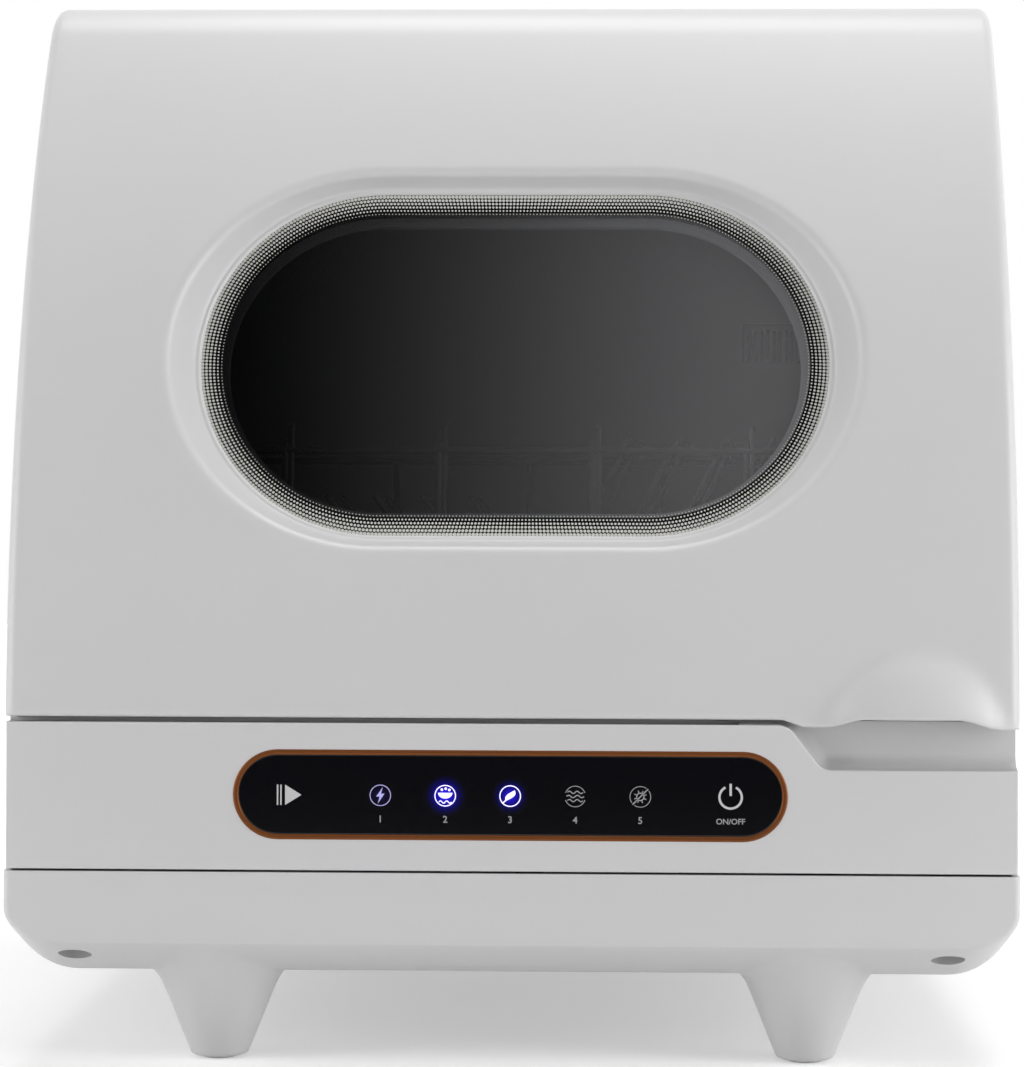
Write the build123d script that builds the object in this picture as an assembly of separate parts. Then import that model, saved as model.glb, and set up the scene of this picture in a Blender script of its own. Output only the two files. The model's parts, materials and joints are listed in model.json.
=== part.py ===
from build123d import *
import math
import os

# Countertop dishwasher with a swing-up hood. X to the right, Y to the back, Z up.
# The origin is on the floor, below the middle of the case. All sizes in millimetres.

# ---- case ----
case_width = 420.0          # across the hood and the base tray
case_height = 460.0
front_face = -206.0         # face of the control fascia
rear_face = 204.0
wall = 3.0                  # moulded case walls
side_step = 1.2             # the cabinet stands this far inside the hood and the tray
edge_round = 5.0            # long edges of the hood

# ---- legs and base tray ----
leg_length = 38.5           # floor to underside of the tray
leg_foot_radius = 11.5
leg_top_radius = 27.0
leg_spacing = 248.0         # left to right
leg_inset = 38.0            # leg centres behind the fascia face
pad_radius = 7.0
pad_height = 5.0
tray_depth = 43.5
tray_corner = 28.0          # lower left and right corners
tray_edge = 14.0            # lower front edge
tray_rear_edge = 6.0
well_radius = 7.0           # screw wells in the underside
well_depth = 12.0
screw_radius = 1.75

# ---- fascia and control panel ----
seam = 0.9                  # tray to cabinet
fascia_height = 62.3
fascia_depth = 10.0
fascia_edge = 2.5
step_drop = 20.6            # the fascia drops by this under the hand pull
step_start = 114.5
step_end = 128.5
panel_length = 228.8
panel_height = 37.2
panel_rise = 31.4           # panel centre above the foot of the fascia
rim_width = 2.2
key_places = (-91.0, -54.2, -26.9, -0.4, 26.5, 53.0, 90.6)

# ---- hood ----
hood_gap = 1.4              # fascia to hood
bow_radius = 560.0          # front face, seen from the side
bow_level = 120.0
top_round = 38.0            # front upper edge, seen from the side
hinge_from_rear = 78.0
roll_radius = 10.0          # rear edge, rolled round the hinge pin
split_gap = 1.2             # cabinet to hood, square to the slanted joint

# ---- window ----
window_level = 300.8        # place on the bowed front from which the window sinks in
window_sink = 16.6
glass_width = 265.0
glass_height = 152.0
glass_thickness = 4.0
glass_lap = 4.0             # glass behind the edge of the recess
recess_side_angle = 35.6
recess_top_angle = 45.0
recess_round = 4.0
recess_margin = 45.0        # least distance from the recess to the sides and foot of the hood
seal_thickness = 2.0

# ---- hand pull ----
pull_from_side = 43.0
pull_radius = 38.4
pull_height = 12.0
pull_level = 136.6
pull_root = 3.5             # the dome starts this far behind the fascia face
lip_arch_radius = 201.0
lip_arch_top = 146.4
lip_end_level = 142.4

# ---- wash tub ----
side_space = 17.8           # case wall to tub
tub_front_space = 20.0
tub_rear_space = 30.0       # tub to hinge line
tub_wall = 2.5
tub_corner = 28.0
tub_floor_round = 12.0
tub_lift = 26.0             # tub floor above the top of the tray
flange_width = 6.0
seal_width = 4.0

# ---- rack ----
wire_radius = 1.5
rail_radius = 1.7
rack_side_gap = 20.0
rack_floor_lift = 32.0      # wires above the tub floor
rail_lift = 150.0
rack_lean = 26.0            # the front leans back by this up to the rail
rack_corner = 22.0
post_pitch = 66.5
post_rise = 10.0
tine_pitch = 21.0
tine_angle = 26.0
plate_tine_rise = 95.0

# ---- spray arm, filter and float ----
post_radius = 7.0
arm_reach = 120.0
arm_width = 30.0
arm_height = 10.0
arm_lift = 11.3             # arm above the tub floor
shaft_play = 0.05
running_gap = 0.3
filter_radius = 24.0
filter_x = 136.0
filter_from_front = 64.0
heater_radius = 88.0
heater_bar = 3.2
float_x = -150.0
float_from_front = 58.0
float_radius = 12.0
float_travel = 8.0

# ---- pumps ----
pump_level = 78.0
wash_radius = 25.0
wash_length = 24.0
wash_motor_length = 58.0
wash_motor_radius = 23.0
drain_radius = 20.0
drain_length = 18.0
drain_motor_length = 40.0
drain_motor_radius = 17.0
hose_radius = 9.0
hose_wall = 2.5
drain_hose_radius = 8.0
drain_level = 68.0
drain_x = 186.0

# ---- tank, blower and inlet ----
tank_width = 250.0
tank_foot = 150.0
tank_wall = 2.5
neck_radius = 16.0
cap_width = 71.0
cap_length = 41.0
cap_x = -110.0
cap_gap = 0.5
blower_x = 125.0
blower_level = 300.0
blower_radius = 42.0
blower_length = 36.0
duct_width = 40.0
duct_height = 26.0
inlet_x = -150.0
inlet_level = 64.0
inlet_thread_radius = 13.2
gland_x = 60.0
gland_level = 104.0
gland_bore = 3.5
fitting_length = 13.5

# ---- worked-out places ----
half = case_width / 2
body_half = half - side_step
inner_half = body_half - wall
tray_bottom = leg_length
tray_top = tray_bottom + tray_depth
fascia_foot = tray_top + seam
fascia_top = fascia_foot + fascia_height
step_top = fascia_top - step_drop
fascia_back = front_face + fascia_depth
hood_foot = fascia_top + hood_gap
hinge_y = rear_face - hinge_from_rear
hinge_z = case_height - roll_radius
bow_centre = front_face + bow_radius
hood_front = bow_centre - math.sqrt(bow_radius ** 2 - (hood_foot - bow_level) ** 2)
split_angle = math.atan2(hinge_z - hood_foot, hinge_y - hood_front)
tub_half = inner_half - side_space
tub_front = front_face + tub_front_space
tub_rear = hinge_y - tub_rear_space
tub_middle = (tub_front + tub_rear) / 2
tub_floor = tray_top + tub_lift
tub_under = tub_floor - tub_wall
deck_top = case_height - 31.0
crown_foot = deck_top + 1.6
crown_front = hinge_y + roll_radius + split_gap
panel_level = fascia_foot + panel_rise
pull_x = half - pull_from_side
filter_y = tub_front + filter_from_front
float_y = tub_front + float_from_front
rack_floor = tub_floor + rack_floor_lift
rail_level = tub_floor + rail_lift
arm_foot = tub_floor + arm_lift
arm_top = arm_foot + arm_height
rest_front = front_face + leg_inset
rest_rear = rear_face - leg_inset
rim_high = -8.0             # top of the slanted rim, measured from the joint
rim_low = rim_high - wall
liner_seat = 1.5            # underside of the liner, above the joint
deck_front = tub_rear + 15.5
inlet_hose_y = rear_face - 29.0
cap_pin_y = rear_face - 12.0
cap_pin_z = case_height - 3.5
cap_front = cap_pin_y - cap_length
neck_y = rear_face - 35.0
board_back = rear_face - 16.4
blower_face = tub_rear + 54.0
switch_y = -110.0
switch_x = inner_half - 3.2
plunger_radius = 1.5
plunger_travel = 2.0
boss_radius = 5.0
boss_foot = 4.0             # underside of the screw bosses, above the joint
pin_radius = 2.5
ear_radius = 6.6
strut_half = 3.0
bracket_near = tub_half - 1.5
bracket_far = bracket_near + 4.0
arm_near = bracket_far + 1.0
arm_far = arm_near + 4.0
magnet_along = -(hinge_y + 160.0) / math.cos(split_angle)
rack_side = tub_half - rack_side_gap
rack_front = tub_front + rack_side_gap
rack_rear = tub_rear - rack_side_gap
post_start = -1.5 * post_pitch + 1.4
pipe_x = -60.0
pipe_level = tank_foot + 15.0
shaft_radius = 2.0
volute_out_x = filter_x - filter_radius - 17.0 - wash_length / 2
volute_out_y = filter_y + wash_radius + 5.0
supply_level = pump_level - 14.0
drain_face = filter_y + filter_radius + 6.0 + 8.0
beyond = 900.0              # larger than the whole object, for cutting

split_plane = Plane(
    origin=(0, hinge_y, hinge_z),
    x_dir=(1, 0, 0),
    z_dir=(0, -math.sin(split_angle), math.cos(split_angle)),
)
window_tilt = math.asin((window_level - bow_level) / bow_radius)
window_plane = Plane(
    origin=(
        0,
        bow_centre - (bow_radius - window_sink) * math.cos(window_tilt),
        bow_level + (bow_radius - window_sink) * math.sin(window_tilt),
    ),
    x_dir=(1, 0, 0),
    z_dir=(0, -math.cos(window_tilt), math.sin(window_tilt)),
)


# ---- helpers ----
def block(x, y, z):
    """Box from three (low, high) ranges."""
    centre = ((x[0] + x[1]) / 2, (y[0] + y[1]) / 2, (z[0] + z[1]) / 2)
    return Pos(*centre) * Box(x[1] - x[0], y[1] - y[0], z[1] - z[0])


def rod(start, end, radius):
    """Round bar from one point to another."""
    run = Vector(*end) - Vector(*start)
    frame = Plane(origin=start, z_dir=run)
    return frame * Cylinder(radius, run.length, align=(Align.CENTER, Align.CENTER, Align.MIN))


def pipe(start, end, radius, bore):
    """Round tube from one point to another."""
    return rod(start, end, radius) - rod(start, end, bore)


def side_prism(points, x0, x1):
    """Outline given as (y, z) points, extruded from x0 to x1."""
    face = make_face(Polyline(*points, close=True))
    return extrude(Plane.YZ.offset(x0) * face, amount=x1 - x0)


def swept_hose(points, bends, radius, bore):
    """Hose along straight runs with a round bend at each inner point."""
    path = FilletPolyline(*points, radius=bends)
    start = Plane(origin=path @ 0, z_dir=path % 0)
    outer = sweep(start * Circle(radius), path=path)
    inner = sweep(start * Circle(bore), path=path)
    return outer - inner


def split_z(y):
    """Height of the slanted joint between cabinet and hood."""
    return hinge_z + (y - hinge_y) * math.tan(split_angle)


def slab(low, high):
    """Everything between two planes parallel to the slanted joint."""
    return split_plane * Pos(0, 0, (low + high) / 2) * Box(beyond, 2 * beyond, high - low)


def tub_plan(growth):
    """Plan outline of the wash tub, made larger by growth."""
    width = 2 * (tub_half + growth)
    length = tub_rear - tub_front + 2 * growth
    return Pos(0, tub_middle) * RectangleRounded(width, length, tub_corner + growth)


def tub_column(growth, z0, z1):
    """Upright prism over the plan outline of the wash tub."""
    return extrude(Pos(0, 0, z0) * tub_plan(growth), amount=z1 - z0)


def rim_ring(outer, inner, low, high):
    """Ring that follows the mouth of the tub along the slanted joint."""
    ring = tub_column(outer, tray_top, case_height) - tub_column(inner, tray_top, case_height)
    return ring & slab(low, high)


def stadium(width, height):
    """Oval outline with straight long sides."""
    return SlotOverall(width, height)


def save(shape, name):
    """Write one sub-part, as its solids."""
    solids = shape.solids()
    export_step(solids[0] if len(solids) == 1 else Compound(solids), f"parts/{name}.step")


# ---- base ----
def tray_shell(inset):
    """Tray body, drawn from the front; inset gives the hollow inside it."""
    low = tray_bottom + inset
    side = half - inset
    face = Pos(0, (low + tray_top) / 2) * Rectangle(2 * side, tray_top - low)
    lower = face.vertices().group_by(Axis.Y)[0]
    face = fillet(lower, tray_corner - inset)
    front = front_face + inset
    rear = rear_face - inset
    body = extrude(Plane.XZ.offset(-rear) * face, amount=rear - front)
    rim = body.faces().sort_by(Axis.Z)[-1].edges()
    front_edges = body.faces().sort_by(Axis.Y)[0].edges() - rim
    body = fillet(front_edges, tray_edge - inset)
    rim = body.faces().sort_by(Axis.Z)[-1].edges()
    rear_edges = body.faces().sort_by(Axis.Y)[-1].edges() - rim
    return fillet(rear_edges, tray_rear_edge - inset)


def leg(x, y):
    """Tapered leg with a rounded foot and a pocket for its pad."""
    slope = (leg_top_radius - leg_foot_radius) / leg_length
    top = tray_bottom + well_depth
    profile = Polyline(
        (0, pad_height / 2),
        (leg_foot_radius, pad_height / 2),
        (leg_top_radius + slope * well_depth, top),
        (0, top),
        close=True,
    )
    cone = revolve(Plane.XZ * make_face(profile), Axis.Z)
    foot = cone.edges().group_by(Axis.Z)[0]
    cone = fillet(foot, leg_foot_radius - pad_radius - 0.5)
    return Pos(x, y) * cone


def leg_places():
    """Centres of the four legs."""
    side = leg_spacing / 2
    return [(x, y) for x in (-side, side) for y in (rest_front, rest_rear)]


def well_places():
    """Centres of the four screw wells in the underside."""
    side = half - tray_corner - 1.0
    return [(x, y) for x in (-side, side) for y in (front_face + 10.0, rear_face - 14.0)]


def make_base_tray():
    """Tray with four moulded legs, open at the top."""
    tray = tray_shell(0)
    for x, y in leg_places():
        tray += leg(x, y)
    tray -= tray_shell(wall)
    for x, y in leg_places():
        tray -= Pos(x, y) * Cylinder(pad_radius, 2 * pad_height)
    for x, y in well_places():
        post_top = tray_bottom + well_depth + wall
        post = rod((x, y, tray_bottom), (x, y, post_top), well_radius + 2.0)
        tray += post & (tray_shell(0))
        tray -= rod((x, y, 0), (x, y, tray_bottom + well_depth), well_radius)
        tray -= rod((x, y, 0), (x, y, post_top + 1), screw_radius)
    fittings = ((drain_x, drain_level, hose_radius), (inlet_x, inlet_level, inlet_thread_radius))
    for x, z, radius in fittings:
        tray -= rod((x, rear_face - 2 * wall, z), (x, rear_face + 1, z), radius)
    return tray


def make_foot_pads():
    """Four rubber pads under the legs."""
    return Part() + [
        rod((x, y, 0), (x, y, pad_height), pad_radius) for x, y in leg_places()
    ]


def screw(place, direction, shank):
    """Pan-head screw: the underside of its head is at the place."""
    head = Cylinder(2 * screw_radius, 2.0, align=(Align.CENTER, Align.CENTER, Align.MIN))
    head = fillet(head.edges().group_by(Axis.Z)[-1], 0.8)
    slot = Pos(0, 0, 2.0) * (Box(2.4, 0.6, 1.6) + Box(0.6, 2.4, 1.6))
    body = Cylinder(screw_radius, shank, align=(Align.CENTER, Align.CENTER, Align.MAX))
    frame = Plane(origin=place, z_dir=direction)
    return frame * (head - slot + body)


# ---- cabinet ----
def fascia_outline(inset):
    """Front outline of the fascia in (x, z), with its step down at the right."""
    side = body_half - inset
    top = fascia_top - inset
    low = step_top - inset
    corners = [
        (-side, fascia_foot + inset),
        (side, fascia_foot + inset),
        (side, low),
        (step_end - inset, low),
        (step_start - inset, top),
        (-side, top),
    ]
    bends = [0.1, 0.1, 0.1, 8.0, 9.0, 0.1]
    return make_face(FilletPolyline(*corners, radius=bends, close=True))


def front_sheet(face, front, thickness):
    """Extrude a face drawn in (x, z) backwards from a front plane."""
    return extrude(Plane.XZ.offset(-front - thickness) * face, amount=thickness)


def make_front_fascia():
    """Fascia, hollow at the back, with the opening for the key panel."""
    shell = front_sheet(fascia_outline(0), front_face, fascia_depth)
    rim = shell.faces().sort_by(Axis.Y)[0].outer_wire().edges()
    shell = fillet(rim, fascia_edge)
    shell -= front_sheet(fascia_outline(wall), front_face + wall, fascia_depth)
    opening = Pos(0, panel_level) * stadium(panel_length, panel_height)
    return shell - front_sheet(opening, front_face - 1, wall + 2)


def make_control_bezel():
    """Thin oval rim with a seat behind the fascia."""
    place = Pos(0, panel_level)
    rim = front_sheet(place * stadium(panel_length, panel_height), front_face - 0.4, wall + 0.4)
    lip = stadium(panel_length + 8, panel_height + 8)
    rim += front_sheet(place * lip, front_face + wall, 1.0)
    inner = stadium(panel_length - 2 * rim_width, panel_height - 2 * rim_width)
    return rim - front_sheet(place * inner, front_face - 1, wall + 4)


def make_control_glass():
    """Black key panel inside the rim, flush with the fascia."""
    face = stadium(panel_length - 2 * rim_width, panel_height - 2 * rim_width)
    return front_sheet(Pos(0, panel_level) * face, front_face, 2.0)


def board_front():
    """Front of the key board, behind the glass."""
    return front_face + wall + 1.0


def make_control_board():
    """Circuit board on the back of the bezel, with a lamp for each key."""
    face = Pos(0, panel_level) * Rectangle(panel_length - 24, panel_height + 2)
    board = front_sheet(face, board_front(), 1.6)
    for x in key_places[1:4]:
        chip = (x - 6, x + 6), (board_front() + 1.6, board_front() + 3.2)
        board += block(*chip, (panel_level - 5, panel_level + 5))
    for x in key_places:
        lamp = (x - 1.2, x + 1.2), (board_front() - 1.0, board_front())
        board += block(*lamp, (panel_level - 6.5, panel_level - 4.5))
    return board


def make_touch_springs():
    """Small coil springs from the board to the glass, drawn as sleeves."""
    back = board_front()
    front = front_face + 2.0
    level = panel_level + 3.0
    return Part() + [
        pipe((x, front, level), (x, back, level), 3.0, 2.2) for x in key_places
    ]


def make_inner_frame():
    """Inner front wall and the slanted rim that carries the tub."""
    top = split_z(fascia_back) - 10.0
    frame = block((-inner_half, inner_half), (fascia_back, fascia_back + wall), (fascia_foot, top))
    rear = tub_rear + 2 * flange_width
    plate = block((-inner_half, inner_half), (fascia_back, rear), (tray_top, case_height))
    frame += plate & slab(rim_low, rim_high)
    frame -= tub_column(tub_wall + 0.3, fascia_foot, case_height)
    frame -= switch_plane() * Cylinder(plunger_radius + running_gap, 60)
    return frame


def panel_outline():
    """Side panel in (y, z): upright edges and a slanted top."""
    drop = split_gap / math.cos(split_angle)
    step = crown_front - seam
    return [
        (fascia_back, fascia_foot),
        (rear_face, fascia_foot),
        (rear_face, crown_foot - seam),
        (step, crown_foot - seam),
        (step, hinge_z - roll_radius),
        (hinge_y, hinge_z - drop),
        (fascia_back, split_z(fascia_back) - drop),
    ]


def make_side_panel(side):
    """Left (-1) or right (+1) panel of the cabinet."""
    x0, x1 = sorted((side * inner_half, side * body_half))
    panel = side_prism(panel_outline(), x0, x1)
    rear = panel.edges().filter_by(Axis.Z).sort_by(Axis.Y)[-2:]
    outer = rear.sort_by(Axis.X)[-1 if side > 0 else 0]
    panel = fillet(outer, wall * 0.8)
    ends = (x0 - 1, hinge_y, hinge_z), (x1 + 1, hinge_y, hinge_z)
    return panel - rod(*ends, roll_radius + split_gap)


def make_rear_crown():
    """Fixed cover behind the hood, with the opening for the fill flap."""
    cover = block((-body_half, body_half), (crown_front, rear_face), (crown_foot, case_height))
    rim = cover.faces().sort_by(Axis.Z)[-1].edges()
    cover = fillet(rim, edge_round)
    hollow = (-inner_half, inner_half), (crown_front + wall, rear_face - wall)
    cover -= block(*hollow, (crown_foot, case_height - wall))
    opening = (cap_x - cap_width / 2 - cap_gap, cap_x + cap_width / 2 + cap_gap)
    cover -= block(opening, (cap_front - cap_gap, cap_pin_y + wall + 1.0), (crown_foot, beyond))
    for side in (-1, 1):
        end = cap_x + side * (cap_width / 2 - 8)
        x0, x1 = sorted((end + side * 1.0, end + side * 12.0))
        lug = block((x0, x1), (cap_pin_y - 4, cap_pin_y + wall + 3), (cap_pin_z - 9, cap_pin_z + 3))
        lug -= block((x0, x1), (cap_pin_y - 5, cap_pin_y + 4), (cap_pin_z + 2.2, case_height))
        lug -= rod((cap_x - cap_width, cap_pin_y, cap_pin_z), (cap_x + cap_width, cap_pin_y, cap_pin_z), 1.55)
        cover += lug
    return cover


def make_hinge_deck():
    """Steel plate across the cabinet under the crown."""
    rear = rear_face - wall
    deck = block((-inner_half, inner_half), (deck_front, rear), (deck_top - wall, deck_top))
    return deck - Pos(cap_x, neck_y, deck_top) * Cylinder(neck_radius + 2, 20)


def vent_slots(x, z, count, width, pitch, height):
    """Row of level slots for air, one above the other."""
    slots = []
    for step in range(count):
        level = z + (step - (count - 1) / 2) * pitch
        slots.append(Pos(x, level) * SlotOverall(width, height))
    return slots


def make_rear_cover():
    """Back plate with air slots, board posts and the hole for the gland."""
    top = crown_foot - seam
    inside = (-inner_half + 0.1, inner_half - 0.1)
    cover = block(inside, (rear_face - wall, rear_face), (fascia_foot, top))
    for slot in vent_slots(blower_x, blower_level, 9, 70.0, 8.0, 4.0):
        cover -= front_sheet(slot, rear_face - wall - 1, wall + 2)
    for slot in vent_slots(-80.0, 240.0, 5, 90.0, 9.0, 3.0):
        cover -= front_sheet(slot, rear_face - 1.2, wall)
    gland = (gland_x, rear_face - 2 * wall, gland_level)
    cover -= rod(gland, (gland_x, rear_face + 1, gland_level), gland_bore + 3.0)
    for x, z in board_corners():
        cover += rod((x, board_back, z), (x, rear_face - wall, z), 4.0)
    for place in cover_screw_places():
        cover -= rod((place[0], rear_face - 2 * wall, place[2]), place, screw_radius)
    return cover


def cover_screw_places():
    """Six screws round the back plate."""
    side = inner_half - 10
    levels = (fascia_foot + 10, (fascia_foot + crown_foot) / 2, crown_foot - 12)
    return [(x, rear_face, z) for x in (-side, side) for z in levels]


def make_case_screws():
    """Screws of the back plate and of the tray wells."""
    screws = [screw(place, (0, 1, 0), 8.0) for place in cover_screw_places()]
    for x, y in well_places():
        screws.append(screw((x, y, tray_bottom + well_depth), (0, 0, -1), 5.0))
    return Part() + screws


def make_cord_gland():
    """Round gland for the mains lead."""
    back = rear_face + 9.0
    gland = rod((gland_x, rear_face - wall - 3, gland_level), (gland_x, back, gland_level), gland_bore + 3)
    flange = (gland_x, rear_face, gland_level), (gland_x, rear_face + 2.5, gland_level)
    gland += rod(*flange, gland_bore + 6)
    return gland - rod((gland_x, rear_face - 20, gland_level), (gland_x, back + 1, gland_level), gland_bore)


# ---- hood ----
def hood_outline(inset):
    """Side outline of the hood in (y, z), moved inwards by inset."""
    bow = bow_radius - inset
    turn = top_round - inset
    roll = roll_radius - inset
    turn_z = case_height - top_round
    reach = bow_radius - top_round
    turn_y = bow_centre - math.sqrt(reach ** 2 - (turn_z - bow_level) ** 2)
    tangent = math.atan2(turn_z - bow_level, turn_y - bow_centre)
    foot = lip_end_level - 10.0

    def bow_point(angle):
        return (bow_centre + bow * math.cos(angle), bow_level + bow * math.sin(angle))

    def turn_point(angle):
        return (turn_y + turn * math.cos(angle), turn_z + turn * math.sin(angle))

    start = math.pi - math.asin((foot - bow_level) / bow)
    top = case_height - inset
    edges = [
        ThreePointArc(bow_point(start), bow_point((start + tangent) / 2), bow_point(tangent)),
        ThreePointArc(
            turn_point(tangent), turn_point((tangent + math.pi / 2) / 2), (turn_y, top)
        ),
        Line((turn_y, top), (hinge_y, top)),
        ThreePointArc(
            (hinge_y, top), (hinge_y + roll, hinge_z), (hinge_y, hinge_z - roll)
        ),
        Line((hinge_y, hinge_z - roll), (hinge_y, foot)),
        Line((hinge_y, foot), bow_point(start)),
    ]
    return make_face(edges)


def hood_solid(inset, side, rounding):
    """Closed body of the hood."""
    body = extrude(Plane.YZ.offset(-side) * hood_outline(inset), amount=2 * side)
    if rounding > 0:
        ends = body.faces().sort_by(Axis.X)
        long_edges = ends[0].edges() + ends[-1].edges()
        body = fillet(long_edges.filter_by(GeomType.CIRCLE), rounding)
    return body


def recess_body(growth, low, high):
    """Tapered oval that widens outwards from the glass."""
    side = math.tan(math.radians(recess_side_angle))
    top = math.tan(math.radians(recess_top_angle))
    faces = []
    for offset in (low, high):
        spread = max(offset, 0)
        width = glass_width + 2 * growth + 2 * spread * side
        height = glass_height + 2 * growth + 2 * spread * top
        faces.append(window_plane.offset(offset) * stadium(width, height))
    return loft(faces)


def window_sheet(growth, low, high):
    """Straight oval plate parallel to the glass."""
    face = stadium(glass_width + 2 * growth, glass_height + 2 * growth)
    return extrude(window_plane.offset(low) * face, amount=high - low)


def pull_ball(inset):
    """Ball whose cap is the dome of the hand pull."""
    radius = (pull_radius ** 2 + pull_height ** 2) / (2 * pull_height)
    centre = (pull_x, front_face - pull_height + radius, pull_level)
    return Pos(*centre) * Sphere(radius - inset)


def hood_skirt():
    """Zone below the slanted joint that the front of the hood may fill."""
    outline = [
        (step_start - 3.0, hood_foot),
        (pull_x - pull_radius - 3.0, lip_end_level + 0.9),
        (pull_x + pull_radius - 6.0, lip_end_level),
        (half + 1, lip_end_level),
        (half + 1, hood_foot + 12),
        (step_start - 3.0, hood_foot + 12),
    ]
    face = make_face(Polyline(*outline, close=True))
    return front_sheet(face, front_face - 2 * pull_height, 2 * pull_height + 2 * wall)


def hood_cutter():
    """Everything of the hood's outline that is cut away below the joint."""
    low = split_z(-beyond / 3)
    under = side_prism(
        [
            (-beyond / 3, low),
            (hinge_y, hinge_z),
            (hinge_y + 2 * roll_radius, hinge_z),
            (hinge_y + 2 * roll_radius, low),
        ],
        -beyond / 2,
        beyond / 2,
    )
    for side in (-1, 1):
        ends = (side * (half - wall), hinge_y, hinge_z), (side * (half + 1), hinge_y, hinge_z)
        under -= rod(*ends, roll_radius)
    return under - hood_skirt()


def screw_boss_places():
    """Places along the slanted joint where the liner is screwed to the hood."""
    reach = (hinge_y - hood_front) / math.cos(split_angle)
    return [(x, -reach * share) for x in (-1, 1) for share in (0.2, 0.45, 0.7)]


def recess_edges(shell):
    """Edges along which the recess meets the bowed front."""
    found = []
    for edge in shell.edges():
        points = [edge.position_at(share / 4) for share in range(5)]
        away = [math.hypot(p.Y - bow_centre, p.Z - bow_level) - bow_radius for p in points]
        beside = [abs(p.X) < half - recess_margin and p.Z > hood_foot + recess_margin for p in points]
        if max(map(abs, away)) < 0.02 and all(beside):
            found.append(edge)
    return found


def make_door_shell():
    """Outer shell of the hood with its window recess and hand pull."""
    outer = hood_solid(0, half, edge_round)
    shell = outer - hood_solid(wall, half - wall, 0)
    cove = recess_body(wall * 1.4, -1.0, 30.0) & outer
    shell += cove
    shell -= recess_body(0, 0, 30.0)
    shell = fillet(recess_edges(shell), recess_round)
    shell -= window_sheet(0, -2.0, 0.1)
    front = block((0, half), (front_face - 2 * pull_height, front_face + pull_root), (tray_top, window_level))
    shell += pull_ball(0) & front
    shell -= pull_ball(wall)
    for side, along in screw_boss_places():
        place = split_plane * Pos(side * (half - wall - boss_radius + 0.5), along, 0)
        shell += place * Pos(0, 0, boss_foot + 6) * Cylinder(boss_radius, 12)
    shell -= hood_cutter()
    arch = Cylinder(lip_arch_radius, 60)
    shell -= Pos(pull_x - 4.5, front_face, lip_arch_top - lip_arch_radius) * Rot(90, 0, 0) * arch
    for side, along in screw_boss_places():
        place = split_plane * Pos(side * (half - wall - boss_radius + 0.5), along, 0)
        shell -= place * Pos(0, 0, boss_foot) * Cylinder(screw_radius, 16)
    return shell


def liner_front(offset, drop):
    """Point on a line parallel to the glass, in (y, z)."""
    base = window_plane.origin + window_plane.z_dir * offset + window_plane.y_dir * drop
    return (base.Y, base.Z)


def liner_outline(inset):
    """Side outline of the liner in (y, z)."""
    back = -(1.0 + glass_thickness + seal_thickness + inset)
    front = tub_front - tub_wall + inset
    rear = tub_rear + tub_wall - inset
    top = case_height - 20.0 - inset
    return [
        (front, tray_top),
        (front, liner_front(back, -glass_height * 0.66)[1]),
        liner_front(back, -glass_height * 0.56),
        liner_front(back, glass_height * 0.74),
        (liner_front(back, glass_height * 0.74)[0] + top_round, top),
        (rear, top),
        (rear, tray_top),
    ]


def make_door_liner():
    """Inner shell of the hood, with a rim that closes the underside."""
    side = tub_half + tub_wall
    outer = side_prism(liner_outline(0), -side, side)
    outer &= tub_column(tub_wall, tray_top, case_height)
    side = tub_half
    inner = side_prism(liner_outline(tub_wall), -side, side)
    inner &= tub_column(0, tray_top, case_height)
    liner_slab = slab(liner_seat, beyond)
    rim = block(
        (-half + wall + 0.3, half - wall - 0.3),
        (hood_front + wall + 0.6, tub_rear + 9.0),
        (tray_top, case_height),
    )
    liner = (outer & liner_slab) + (rim & slab(liner_seat, boss_foot))
    liner -= inner
    liner -= window_sheet(-10.0, -30.0, 0)
    for side, along in screw_boss_places():
        place = split_plane * Pos(side * (half - wall - boss_radius + 0.5), along, 0)
        liner -= place * Cylinder(screw_radius, 20)
    return liner


def make_liner_screws():
    """Screws that hold the liner under the hood."""
    screws = []
    for side, along in screw_boss_places():
        place = split_plane * Pos(side * (half - wall - boss_radius + 0.5), along, liner_seat)
        screws.append(place * screw((0, 0, 0), (0, 0, -1), 9.0))
    return Part() + screws


def make_door_glass():
    """Toughened glass behind the window recess."""
    front = -1.0
    glass = window_sheet(glass_lap, front - glass_thickness, front)
    return glass


def make_window_seal():
    """Rubber ring between the glass and the liner."""
    high = -1.0 - glass_thickness
    low = high - seal_thickness
    return window_sheet(glass_lap, low, high) - window_sheet(-6.0, low - 1, high + 1)


def ear(side, near, far, radius):
    """Round ear on the hinge line."""
    ends = (side * near, hinge_y, hinge_z), (side * far, hinge_y, hinge_z)
    return rod(*ends, radius)


def make_hinge_arms():
    """Two arms screwed under the top of the hood, with eyes for the pins."""
    arms = []
    top = case_height - wall
    for side in (-1, 1):
        x0, x1 = sorted((side * arm_near, side * arm_far))
        foot0, foot1 = sorted((side * arm_near, side * (arm_far + 8)))
        web = block((x0, x1), (hinge_y - 70, hinge_y), (hinge_z - 4, top))
        web += block((foot0, foot1), (hinge_y - 70, hinge_y - 20), (top - 2.5, top))
        web += ear(side, arm_near, arm_far, ear_radius)
        arms.append(web - ear(side, arm_near - 1, arm_far + 1, pin_radius + shaft_play))
    return Part() + arms


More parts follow.
